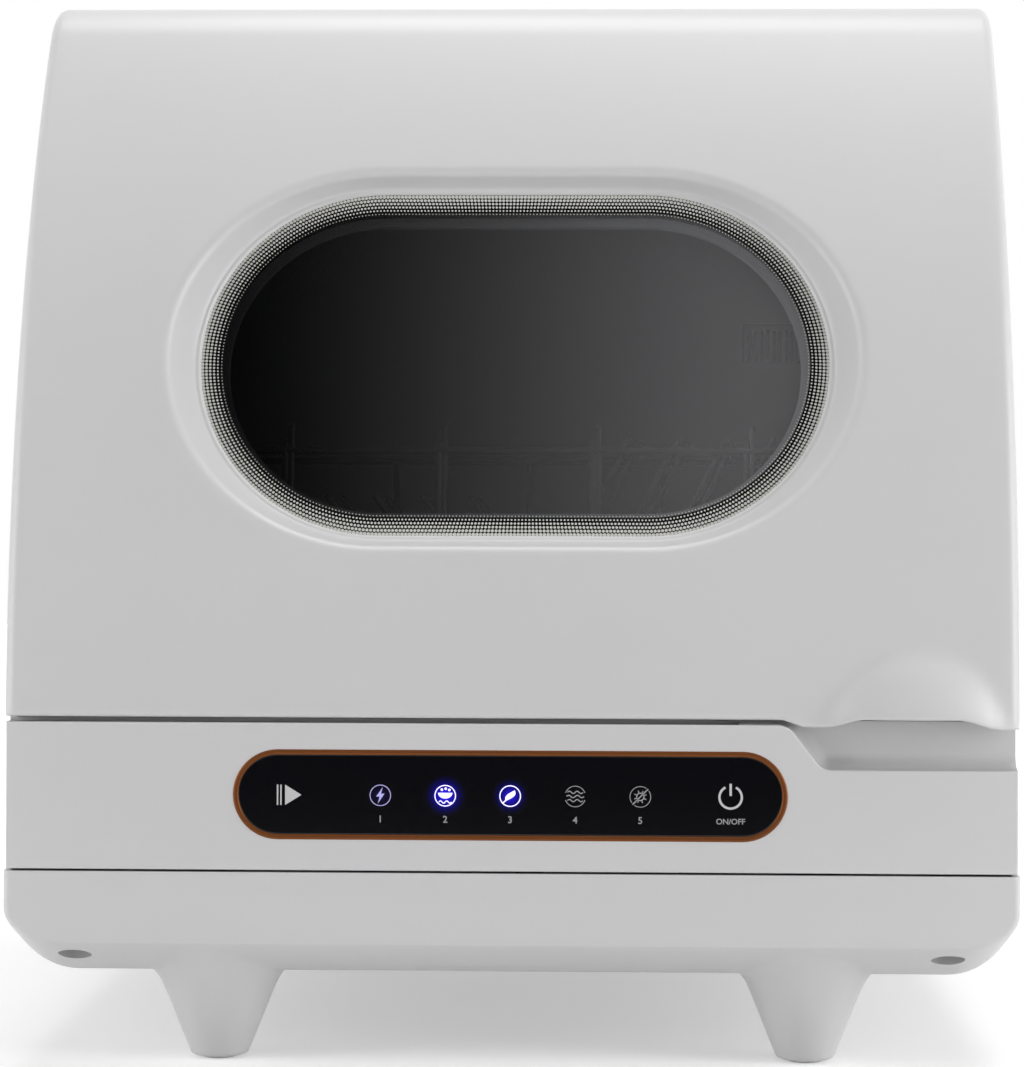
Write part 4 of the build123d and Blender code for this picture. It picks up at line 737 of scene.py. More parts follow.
        def inside(point: Vector) -> bool:
            turn = math.atan2(point.y - middle.y, point.x - middle.x)
            near = min(range(len(hole)), key=lambda i: abs(math.remainder(turns[i] - turn, 2 * math.pi)))
            return (point - middle).length < reach[near]

        cut = [f for f in mesh.faces if inside(f.calc_center_median())]
        bmesh.ops.delete(mesh, geom=cut, context="FACES")
        rim = [e for e in mesh.edges if e.is_boundary
               and (e.verts[0].co - middle).length < max(reach) + 3 * self.cell]
        collar = [mesh.verts.new(p + (p - middle).normalized() * self.collar) for p in hole]
        ring_edges = [mesh.edges.new((a, b)) for a, b in zip(collar, collar[1:] + collar[:1])]
        bmesh.ops.triangle_fill(mesh, use_beauty=True, edges=rim + ring_edges, normal=(0, 0, 1))
        return extend_rim(mesh, collar, hole)

    def build_recess(self, mesh: bmesh.types.BMesh, ring: list[bmesh.types.BMVert],
                     points: list[tuple[float, float, float]], outer: list[Vector]) -> None:
        """Runs the recess from its rounded outer edge down to the glass.

        Args:
            mesh: Mesh of the hood.
            ring: Outline of the hole, already wrapped.
            points: Directions round the oval.
            outer: Sharp edge where the slope meets the bow.
        """
        depths = [self.depth_to_bow(*p) for p in points]
        shares = [1 - self.recess_round * 0.8 / d for d in depths]
        slope_top = [self.recess_point(*p, d * s) for p, d, s in zip(points, depths, shares)]
        start = [v.co.copy() for v in ring]
        row = ring
        for step in range(1, 7):
            t = step / 6
            places = [a * (1 - t) ** 2 + e * 2 * t * (1 - t) + c * t * t
                      for a, e, c in zip(start, outer, slope_top)]
            row = extend_rim(mesh, row, places)
        land = 0.0011
        for step in range(1, 6):
            t = step / 5
            places = [self.recess_point(*p, d * s * (1 - t) + land * t) for p, d, s in zip(points, depths, shares)]
            row = extend_rim(mesh, row, places)
        for depth, grow in ((0.0007, -0.0002), (0.0005, -0.0006), (0.0005, -0.0012), (0.0003, -0.0015),
                            (-0.0002, -0.0016), (-0.0012, -0.0016)):
            row = extend_rim(mesh, row, [self.recess_point(*p, depth, grow) for p in points])

    def build_sides(self, mesh: bmesh.types.BMesh) -> None:
        """Closes the flat side walls down to the slanted joint.

        Args:
            mesh: Mesh of the hood, wrapped.
        """
        hinge = Vector((self.hinge.y, self.hinge.z))
        for side in (-1, 1):
            rows = [v for v in mesh.verts if v.is_boundary and abs(v.co.x - side * self.half) < 1e-6]
            rows.sort(key=lambda v: math.atan2(v.co.z - 0.25, -(v.co.y - 0.05)))
            lowered = [v for v in rows if side > 0 and v.co.z < self.split_foot - 0.0003]
            first = rows[len(lowered)].co
            start = Vector((first.y, first.z))
            line = (hinge - start).normalized()
            full = (hinge - start).length - self.roll_radius
            base = math.atan2(-line.y, -line.x) + 2 * math.pi
            total = len(rows) - 1 - len(lowered)
            places = []
            for index, vert in enumerate(rows):
                share = (index - len(lowered)) / total
                if share < 0:
                    places.append(Vector((vert.co.x, start.x + 0.001, vert.co.z)))
                elif share < 0.9:
                    point = start + line * full * share / 0.9
                    places.append(Vector((vert.co.x, point.x, point.y)))
                else:
                    angle = base + (2 * math.pi - base) * (share - 0.9) / 0.1
                    places.append(Vector((
                        vert.co.x,
                        self.hinge.y + self.roll_radius * math.cos(angle),
                        self.hinge.z + self.roll_radius * math.sin(angle),
                    )))
            extend_rim(mesh, rows, places, closed=False)

    def build_lip(self, mesh: bmesh.types.BMesh, foot: list[bmesh.types.BMVert]) -> None:
        """Rounds the lower edge inwards.

        Args:
            mesh: Mesh of the hood, wrapped.
            foot: Vertices of the lower edge, from left to right.
        """
        start = [v.co.copy() for v in foot]
        row = foot
        for turn in arc_angles(0, 90, 4)[1:]:
            shift = Vector((0, self.lip_round * (1 - math.cos(turn)), -self.lip_round * math.sin(turn)))
            row = extend_rim(mesh, row, [p + shift for p in start], closed=False)

    def build(self) -> None:
        """Builds the hood's shell."""
        points = oval_points(1.0, 1.0, 40, 24)
        outer = [self.recess_point(*p, self.depth_to_bow(*p)) for p in points]
        flat = [self.sheet_place(p) for p in outer]
        middle = sum(flat, Vector()) / len(flat)
        hole = []
        for index, place in enumerate(flat):
            tangent = (flat[(index + 1) % len(flat)] - flat[index - 1]).normalized()
            out = Vector((tangent.y, -tangent.x, 0))
            if out.dot(place - middle) < 0:
                out = -out
            hole.append(place + out * self.recess_round)
        mesh = bmesh.new()
        ring = self.flat_sheet(mesh, hole)
        lowest = min(v.co.y for v in mesh.verts)
        across = sorted({round(v.co.x, 7) for v in mesh.verts if v.co.y < lowest + 0.006 and v.is_boundary})
        foot = [min((v for v in mesh.verts if round(v.co.x, 7) == x and v.is_boundary), key=lambda v: v.co.y)
                for x in across]
        for vert in mesh.verts:
            vert.co = self.wrap(vert.co.x, vert.co.y)
        self.build_sides(mesh)
        self.build_lip(mesh, foot)
        self.build_recess(mesh, ring, points, outer)
        bmesh.ops.remove_doubles(mesh, verts=mesh.verts, dist=1e-6)
        bmesh.ops.recalc_face_normals(mesh, faces=mesh.faces)
        top = max(mesh.faces, key=lambda f: f.calc_center_median().z)
        if top.normal.z < 0:
            bmesh.ops.reverse_faces(mesh, faces=mesh.faces)
        finish_piece(
            mesh, "hood_shell", "hood", self.material, ["door_shell"],
            modifiers=(
                ("SOLIDIFY", {"thickness": self.wall, "offset": -1.0, "use_even_offset": True}),
                ("BEVEL", {"width": 0.0006, "segments": 2, "limit_method": "ANGLE",
                           "angle_limit": math.radians(50)}),
            ),
        )


# ---------------------------------------------------------------- fascia and tray
def rounded_path(corners: Sequence[tuple[float, float, float]], steps: int = 8, closed: bool = True) -> list[Vector]:
    """Outline in (x, z) with round corners.

    Args:
        corners: x, z and bend radius of each corner.
        steps: Steps in each bend.
        closed: Whether the outline closes; an open one keeps its end corners sharp.

    Returns:
        Points of the outline.
    """
    points = []
    count = len(corners)
    for index, (x, z, radius) in enumerate(corners):
        here = Vector((x, z))
        if radius <= 0 or (not closed and index in (0, count - 1)):
            points.append(here)
            continue
        before = (Vector(corners[index - 1][:2]) - here).normalized()
        after = (Vector(corners[(index + 1) % count][:2]) - here).normalized()
        half_angle = math.acos(max(-1.0, min(1.0, before.dot(after)))) / 2
        middle = here + (before + after).normalized() * (radius / math.sin(half_angle))
        reach = radius / math.tan(half_angle)
        start, end = here + before * reach - middle, here + after * reach - middle
        sweep = start.angle_signed(end)
        for step in range(steps + 1):
            turn = -sweep * step / steps
            points.append(middle + Vector((
                start.x * math.cos(turn) - start.y * math.sin(turn),
                start.x * math.sin(turn) + start.y * math.cos(turn),
            )))
    return points


def set_off(path: list[Vector], distance: float, closed: bool) -> list[Vector]:
    """Moves an outline sideways, to the left of its direction.

    Args:
        path: Points of the outline.
        distance: How far it moves.
        closed: Whether the outline closes.

    Returns:
        The moved points.
    """
    moved = []
    count = len(path)
    for index, point in enumerate(path):
        ahead = path[(index + 1) % count] if closed or index < count - 1 else point
        behind = path[index - 1] if closed or index > 0 else point
        first = (point - behind).normalized() if (point - behind).length > 1e-9 else (ahead - point).normalized()
        second = (ahead - point).normalized() if (ahead - point).length > 1e-9 else first
        normals = [Vector((-d.y, d.x)) for d in (first, second)]
        middle = (normals[0] + normals[1]).normalized()
        moved.append(point + middle * (distance / max(middle.dot(normals[0]), 0.3)))
    return moved


def at_depth(points: Sequence[Vector], y: float) -> list[Vector]:
    """Puts (x, z) points at a depth."""
    return [Vector((p.x, y, p.y)) for p in points]


def oval_path(length: float, height: float, level: float, inset: float = 0.0) -> list[Vector]:
    """Oval outline round the middle of the fascia, in (x, z)."""
    radius = height / 2 - inset
    straight = length / 2 - height / 2
    return [Vector((end * straight + radius * c, level + radius * s)) for end, c, s in oval_points(1, 1, 24, 12)]


@dataclass
class Fascia:
    """Control fascia with its step, the finger scoop, the copper rim and the key panel."""

    edge: float = 0.0009
    gap_open: float = 0.0014
    step_drop: float = 0.0182
    step_start: float = 0.1145
    step_end: float = 0.1285
    step_bends: tuple[float, float] = (0.008, 0.009)
    panel_size: tuple[float, float] = (0.2288, 0.0372)
    panel_rise: float = 0.0314
    rim_width: float = 0.0022
    scoop_reach: float = 0.006
    finishes: dict[str, bpy.types.Material] = field(default_factory=dict)

    def __post_init__(self) -> None:
        """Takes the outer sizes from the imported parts."""
        low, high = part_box("front_fascia")
        self.side, self.foot, self.top = high.x, low.z, high.z - self.gap_open
        self.front, self.back = low.y, high.y
        self.level = self.foot + self.panel_rise

    def step_corners(self) -> list[tuple[float, float, float]]:
        """Upper outline from the right end over the step to the left end."""
        low = self.top - self.step_drop
        return [
            (self.side, low, 0.0),
            (self.step_end, low, self.step_bends[0]),
            (self.step_start, self.top, self.step_bends[1]),
        ]

    def build_face(self) -> None:
        """Builds the fascia with soft edges and the opening for the panel."""
        corners = [(-self.side, self.foot, 0.0), (self.side, self.foot, 0.0)] + self.step_corners()
        corners.append((-self.side, self.top, 0.0))
        mesh = bmesh.new()
        outline = [mesh.verts.new(p) for p in at_depth(rounded_path(corners), self.front)]
        face = mesh.faces.new(outline)
        grown = bmesh.ops.extrude_face_region(mesh, geom=[face])["geom"]
        moved = [v for v in grown if isinstance(v, bmesh.types.BMVert)]
        bmesh.ops.translate(mesh, verts=moved, vec=(0, self.back - self.front, 0))
        rim = [e for e in mesh.edges if all(abs(v.co.y - self.front) < 1e-7 for v in e.verts)]
        bmesh.ops.bevel(mesh, geom=rim, offset=self.edge, segments=6, profile=0.5, affect="EDGES", material=-1)
        flat = max((f for f in mesh.faces if abs(f.calc_center_median().y - self.front) < 1e-6),
                   key=lambda f: f.calc_area())
        edges = list(flat.edges)
        bmesh.ops.delete(mesh, geom=[flat], context="FACES_ONLY")
        oval = oval_path(*self.panel_size, self.level)
        ring = [mesh.verts.new(p) for p in at_depth(oval, self.front)]
        hole = [mesh.edges.new(pair) for pair in zip(ring, ring[1:] + ring[:1])]
        bmesh.ops.triangle_fill(mesh, use_beauty=True, edges=edges + hole, normal=(0, -1, 0))
        extend_rim(mesh, ring, at_depth(oval, self.front + 0.003))
        bmesh.ops.recalc_face_normals(mesh, faces=mesh.faces)
        finish_piece(mesh, "fascia_face", "cabinet", self.finishes["case_plastic"],
                     ["front_fascia"])

    def build_scoop(self) -> None:
        """Builds the hollow under the hand pull, from the fascia's step to the wall behind."""
        corners = self.step_corners() + [(self.step_start - 0.02, self.top, 0.0)]
        path = rounded_path(corners, steps=10, closed=False)
        depth = self.back - self.front - self.edge
        mesh = bmesh.new()
        row = [mesh.verts.new(p) for p in at_depth(path, self.front + self.edge * 0.8)]
        for turn in arc_angles(8, 90, 9):
            moved = set_off(path, -self.scoop_reach * (1 - math.cos(turn)), closed=False)
            row = extend_rim(mesh, row, at_depth(moved, self.front + self.edge + depth * math.sin(turn)), False)
        if sum(f.normal.y for f in mesh.faces) > 0:
            bmesh.ops.reverse_faces(mesh, faces=mesh.faces)
        finish_piece(mesh, "finger_scoop", "cabinet", self.finishes["case_plastic"])

    def build_rim(self) -> None:
        """Builds the rounded copper rim of the panel."""
        section = ((0.0, 0.003), (0.0, 0.0), (0.0001, -0.0002), (0.0005, -0.00038), (0.0011, -0.0004),
                   (0.0017, -0.00036), (0.0021, -0.0002), (0.0022, 0.0), (0.0022, 0.0022))
        mesh = bmesh.new()
        row: list[bmesh.types.BMVert] = []
        for inset, depth in section:
            places = at_depth(oval_path(*self.panel_size, self.level, inset), self.front + depth)
            row = extend_rim(mesh, row, places) if row else [mesh.verts.new(p) for p in places]
        bmesh.ops.recalc_face_normals(mesh, faces=mesh.faces)
        if sum(f.normal.y * f.calc_area() for f in mesh.faces) > 0:
            bmesh.ops.reverse_faces(mesh, faces=mesh.faces)
        finish_piece(mesh, "panel_rim", "cabinet", self.finishes["rim_copper"], ["control_bezel"],
                     sharp_deg=60)

    def build(self) -> None:
        """Builds every piece of the fascia."""
        self.build_face()
        self.build_scoop()
        self.build_rim()


@dataclass
class Tray:
    """Base tray with round lower corners and four legs that flow into its underside."""

    corner: float = 0.028
    tuck: tuple[float, float] = (0.024, 0.014)
    tuck_power: float = 1.2
    side_round: float = 0.003
    rear_round: float = 0.006
    leg_tip: float = 0.0115
    leg_top: float = 0.027
    underside: float = 0.0385
    flow: float = 0.010
    skirt: float = 0.0355
    leg_places: tuple[tuple[float, float], ...] = ((-0.124, -0.168), (0.124, -0.168), (-0.124, 0.166), (0.124, 0.166))
    well_places: tuple[tuple[float, float], ...] = ((-0.181, -0.1985), (0.181, -0.1985), (-0.181, 0.190), (0.181, 0.190))
    well: tuple[float, float] = (0.007, 0.0036)
    material: bpy.types.Material | None = None

    def __post_init__(self) -> None:
        """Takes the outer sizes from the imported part."""
        low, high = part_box("base_tray")
        self.half, self.front, self.rear, self.top = high.x, low.y, high.y, high.z

    def floor_lift(self, y: float) -> float:
        """How far the underside has risen towards the front or the rear."""
        ahead = (self.front + self.tuck[0] - y) / self.tuck[0]
        if ahead > 0:
            power = self.tuck_power
            return self.tuck[1] * (1 - (1 - min(ahead, 1.0) ** power) ** (1 / power))
        behind = max(y - self.rear + self.rear_round, 0.0)
        return self.rear_round - math.sqrt(max(self.rear_round ** 2 - behind ** 2, 0))

    def side_inset(self, y: float) -> float:
        """How far the side walls have drawn in towards the front or the rear."""
        for over, radius in ((self.front + self.side_round - y, self.side_round),
                             (y - self.rear + self.rear_round, self.rear_round)):
            if over > 0:
                return radius - math.sqrt(max(radius ** 2 - over ** 2, 0))
        return 0.0

    def section(self, y: float) -> list[Vector]:
        """Section in (x, z): down one side, round the corners and up the other."""
        inset, lift = self.side_inset(y), self.floor_lift(y)
        side, centre = self.half - inset, self.underside + self.corner
        points = [Vector((side, self.top - (self.top - centre) * i / 4)) for i in range(4)]
        middle = self.half - self.corner
        points += [Vector((middle + (self.corner - inset) * math.cos(a), centre + (self.corner - lift) * math.sin(a)))
                   for a in arc_angles(0, -90, 14)]
        floor = [Vector((middle - 2 * middle * i / 24, self.underside + lift)) for i in range(1, 24)]
        return points + floor + [Vector((-p.x, p.y)) for p in reversed(points)]

    def build_shell(self) -> None:
        """Builds the tray's outer skin and cuts the screw wells."""
        rise = [self.side_round * (1 - math.cos(a)) for a in arc_angles(0, 90, 7)]
        rise += [self.side_round + (self.tuck[0] - self.side_round) * i / 14 for i in range(1, 15)]
        stations = [self.front + step for step in rise]
        run = self.rear - self.rear_round - stations[-1]
        stations += [stations[-1] + run * i / 18 for i in range(1, 18)]
        stations += [self.rear - self.rear_round * (1 - math.sin(a)) for a in arc_angles(0, 90, 7)]
        mesh = bmesh.new()
        rows = []
        for y in stations:
            places = at_depth(self.section(y), y)
            rows.append(extend_rim(mesh, rows[-1], places, False) if rows else [mesh.verts.new(p) for p in places])
        mesh.faces.new(rows[0])
        mesh.faces.new(rows[-1])
        bmesh.ops.recalc_face_normals(mesh, faces=mesh.faces)
        lowest = min(mesh.faces, key=lambda f: f.calc_center_median().z)
        if lowest.normal.z > 0:
            bmesh.ops.reverse_faces(mesh, faces=mesh.faces)
        cutter = self.well_cutter()
        finish_piece(
            mesh, "tray_shell", "cabinet", self.material, ["base_tray"], sharp_deg=38,
            modifiers=(
                ("SOLIDIFY", {"thickness": 0.003, "offset": -1.0, "use_even_offset": True}),
                ("BOOLEAN", {"object": cutter, "operation": "DIFFERENCE", "solver": "EXACT"}),
            ),
        )
        bpy.data.objects.remove(cutter)

    def well_cutter(self) -> bpy.types.Object:
        """Cylinders that cut the screw wells; it is removed after use."""
        mesh = bmesh.new()
        for x, y in self.well_places:
            bmesh.ops.create_cone(
                mesh, cap_ends=True, segments=36, radius1=1.0, radius2=1.0, depth=0.06,
                matrix=Matrix.Translation((x, y, self.underside - 0.010)) @ Matrix.Diagonal((*self.well, 1, 1)),
            )
        data = bpy.data.meshes.new("well_cutter")
        mesh.to_mesh(data)
        mesh.free()
        cutter = bpy.data.objects.new("well_cutter", data)
        bpy.context.scene.collection.objects.link(cutter)
        return cutter

    def build_wells(self) -> None:
        """Builds the cup of each screw well."""
        mesh = bmesh.new()
        for x, y in self.well_places:
            made = bmesh.ops.create_circle(
                mesh, cap_ends=True, segments=36, radius=1.0,
                matrix=Matrix.Translation((x, y, self.underside + 0.019)) @ Matrix.Diagonal((*self.well, 1, 1)),
            )["verts"]
            rim = {v for v in made}
            edges = [e for e in mesh.edges if e.verts[0] in rim and e.verts[1] in rim]
            grown = bmesh.ops.extrude_edge_only(mesh, edges=edges)["geom"]
            low = [v for v in grown if isinstance(v, bmesh.types.BMVert)]
            for vert in low:
                vert.co.z = self.floor_height(vert.co.x, vert.co.y) + 0.0002
        bmesh.ops.recalc_face_normals(mesh, faces=mesh.faces)
        bmesh.ops.reverse_faces(mesh, faces=mesh.faces)
        finish_piece(mesh, "screw_wells", "cabinet", self.material)

    def floor_height(self, x: float, y: float) -> float:
        """Height of the tray's outer skin above a point of the floor plan."""
        over = max(abs(x) - self.half + self.corner, 0.0) / (self.corner - self.side_inset(y))
        return self.underside + self.corner - (self.corner - self.floor_lift(y)) * math.sqrt(max(1 - over ** 2, 0))

    def leg_height(self, distance: float) -> float:
        """Height of the leg's cone at a distance from its axis."""
        slope = self.underside / (self.leg_top - self.leg_tip)
        tip = max(distance - self.leg_tip + 0.004, 0.0)
        rise = (distance - self.leg_tip) * slope
        toe = 0.0006 + tip ** 2 * 60
        return max(rise, toe) if distance > self.leg_tip - 0.004 else 0.0006

    def build_legs(self) -> None:
        """Builds the legs as skins that flow into the underside."""
        mesh = bmesh.new()
        for x, y in self.leg_places:
            made = bmesh.ops.create_circle(
                mesh, cap_ends=False, segments=72, radius=0.0071, matrix=Matrix.Translation((x, y, 0)),
            )["verts"]
            row = sorted(made, key=lambda v: math.atan2(v.co.y - y, v.co.x - x))
            distances = [0.0071, 0.0078, 0.0086, 0.0094, 0.0102, 0.0109, 0.0115, 0.0121, 0.0128]
            distances += [0.0128 + (self.skirt - 0.0128) * i / 30 for i in range(1, 31)]
            for distance in distances:
                places = []
                for index in range(len(row)):
                    turn = -math.pi + 2 * math.pi * index / len(row)
                    px, py = x + distance * math.cos(turn), y + distance * math.sin(turn)
                    floor, cone = self.floor_height(px, py), self.leg_height(distance)
                    mix = max(self.flow - abs(floor - cone), 0.0) / self.flow
                    level = min(floor, cone) - mix * mix * self.flow / 4
                    if distance > self.skirt - 0.0001:
                        level = floor + 0.0004
                    places.append(Vector((px, py, max(level, 0.0006))))
                row = extend_rim(mesh, row, places)
        bmesh.ops.recalc_face_normals(mesh, faces=mesh.faces)
        if sum(f.normal.z * f.calc_area() for f in mesh.faces) > 0:
            bmesh.ops.reverse_faces(mesh, faces=mesh.faces)
        finish_piece(mesh, "tray_legs", "cabinet", self.material, sharp_deg=60)

    def build(self) -> None:
        """Builds every piece of the tray."""
        self.build_shell()
        self.build_wells()
        self.build_legs()


# ---------------------------------------------------------------- window glass and key panel
def printed(name: str, colour: str, roughness: float, glow: float = 0.0) -> bpy.types.Material:
    """Ceramic or screen-printed ink: flat, even colour with a faint mottle.

    Args:
        name: Name of the material.
        colour: sRGB colour of the ink.
        roughness: Roughness of the ink.
        glow: Strength of the light behind it.

    Returns:
        The finished material.
    """
    material, tree, shader, place = new_tree(name)
    mottle = add_node(tree, "ShaderNodeTexNoise", {"Vector": place, "Scale": 900.0, "Detail": 2.0})
    tone = add_node(
        tree, "ShaderNodeMix",
        {"Factor": mottle.outputs["Fac"], 6: linear(colour), 7: tuple(0.94 * v for v in linear(colour)[:3]) + (1,)},
        data_type="RGBA",
    )
    tree.links.new(tone.outputs[2], shader.inputs["Base Color"])
    shader.inputs["Roughness"].default_value = roughness
    if glow > 0:
        tree.links.new(tone.outputs[2], shader.inputs["Emission Color"])
        shader.inputs["Emission Strength"].default_value = glow
    return material


def halo_ink(name: str, centre: Vector, reach: float, core: str, edge: str, strength: float) -> bpy.types.Material:
    """Backlit diffuser ink: bright in the middle, fading into the black panel.

    Args:
        name: Name of the material.
        centre: Middle of the lamp.
        reach: Distance at which the light has faded, in metres.
        core: sRGB colour in the middle.
        edge: sRGB colour of the fade.
        strength: Brightness in the middle.

    Returns:
        The finished material.
    """
    material, tree, shader, place = new_tree(name)
    local = add_node(
        tree, "ShaderNodeMapping",
        {"Vector": place, "Location": tuple(-c / reach for c in centre), "Scale": (1 / reach,) * 3},
    )
    fade = add_node(tree, "ShaderNodeTexGradient", {"Vector": local.outputs[0]}, gradient_type="QUADRATIC_SPHERE")
    tint = add_node(
        tree, "ShaderNodeMix", {"Factor": fade.outputs["Fac"], 6: linear(edge), 7: linear(core)}, data_type="RGBA",
    )
    power = add_node(tree, "ShaderNodeMath", {0: fade.outputs["Fac"], 1: strength}, operation="MULTIPLY")
    shader.inputs["Base Color"].default_value = linear("#0B0A0E")
    shader.inputs["Roughness"].default_value = 0.12
    tree.links.new(tint.outputs[2], shader.inputs["Emission Color"])
    tree.links.new(power.outputs[0], shader.inputs["Emission Strength"])
    return material


@dataclass
class Window:
    """Frit of the smoked window: a black band with rows of pale dots.

    Attributes:
        hood: The hood whose window plane the print follows.
        rows_mm: Radius of the dots of each row, from the edge inwards.
        pitch_mm: Dot spacing along and across the band.
        band_mm: Width of the black band.
    """

    hood: Hood
    finishes: dict[str, bpy.types.Material]
    rows_mm: tuple[float, ...] = (0.79, 0.69, 0.61, 0.54, 0.42, 0.26)
    pitch_mm: tuple[float, float] = (1.61, 1.63)
    band_mm: float = 10.3
    first_row_mm: float = 1.2
    rim_mm: float = 1.6

    def place(self, end: float, cosine: float, sine: float, inset: float, lift: float) -> Vector:
        """Point on the glass at an inset from the recess's foot."""
        return self.hood.recess_point(end, cosine, sine, 0.0, -inset) + self.hood.window_out * (lift - 0.001)

    def build_band(self) -> None:
        """Builds the black ceramic band."""
        points = oval_points(1.0, 1.0, 48, 24)
        mesh = bmesh.new()
        row: list[bmesh.types.BMVert] = []
        for inset in (0.2, self.rim_mm, self.band_mm * 0.5, self.band_mm):
            places = [self.place(*p, inset * MM, 0.00004) for p in points]
            row = extend_rim(mesh, row, places) if row else [mesh.verts.new(p) for p in places]
        bmesh.ops.recalc_face_normals(mesh, faces=mesh.faces)
        if sum(f.normal.y for f in mesh.faces) > 0:
            bmesh.ops.reverse_faces(mesh, faces=mesh.faces)
        ink = printed("ceramic_frit_black", "#08080A", 0.16)
        finish_piece(mesh, "frit_band", "hood", ink)

    def build_dots(self) -> None:
        """Builds the rows of dots, staggered from row to row."""
        mesh = bmesh.new()
        half_h = self.hood.glass_size[1] / 2
        straight = self.hood.glass_size[0] / 2 - half_h
        turn = Matrix((
            (1, 0, 0), (0, self.hood.window_up.y, self.hood.window_up.z),
            (0, self.hood.window_out.y, self.hood.window_out.z),
        )).transposed().to_4x4()
        for number, radius in enumerate(self.rows_mm):
            inset = (self.rim_mm + self.first_row_mm + self.pitch_mm[1] * number) * MM
            bend = half_h - inset
            length = 4 * straight + 2 * math.pi * bend
            count = round((4 * straight + 2 * math.pi * half_h) / (self.pitch_mm[0] * MM))
            for index in range(count):
                run = (index + 0.5 * (number % 2)) / count * length
                end, cosine, sine = self.oval_at(run, straight, bend)
                spot = self.place(end, cosine, sine, inset, 0.00008 + 0.000004 * number)
                bmesh.ops.create_circle(
                    mesh, cap_ends=True, segments=8, radius=radius * MM, matrix=Matrix.Translation(spot) @ turn,
                )
        if sum(f.normal.y for f in mesh.faces) > 0:
            bmesh.ops.reverse_faces(mesh, faces=mesh.faces)
        ink = printed("ceramic_frit_dots", "#DADAD4", 0.30)
        finish_piece(mesh, "frit_dots", "hood", ink)

    @staticmethod
    def oval_at(run: float, straight: float, bend: float) -> tuple[float, float, float]:
        """Place on the oval at a distance along it, as oval_points gives it."""
        arc = math.pi * bend
        if run < arc:
            turn = -math.pi / 2 + run / bend
            return 1.0, math.cos(turn), math.sin(turn)
        run -= arc
        if run < 2 * straight:
            return 1.0 - run / straight, 0.0, 1.0
        run -= 2 * straight
        if run < arc:
            turn = math.pi / 2 + run / bend
            return -1.0, math.cos(turn), math.sin(turn)
        return -1.0 + (run - arc) / straight, 0.0, -1.0

    def build(self) -> None:
        """Builds the print on the glass."""
        self.build_band()
        self.build_dots()


class Lamp(Enum):
    """How a key symbol is lit."""

    WHITE = "white"
    GREY = "grey"
    DIM = "dim"
    LIT = "lit"


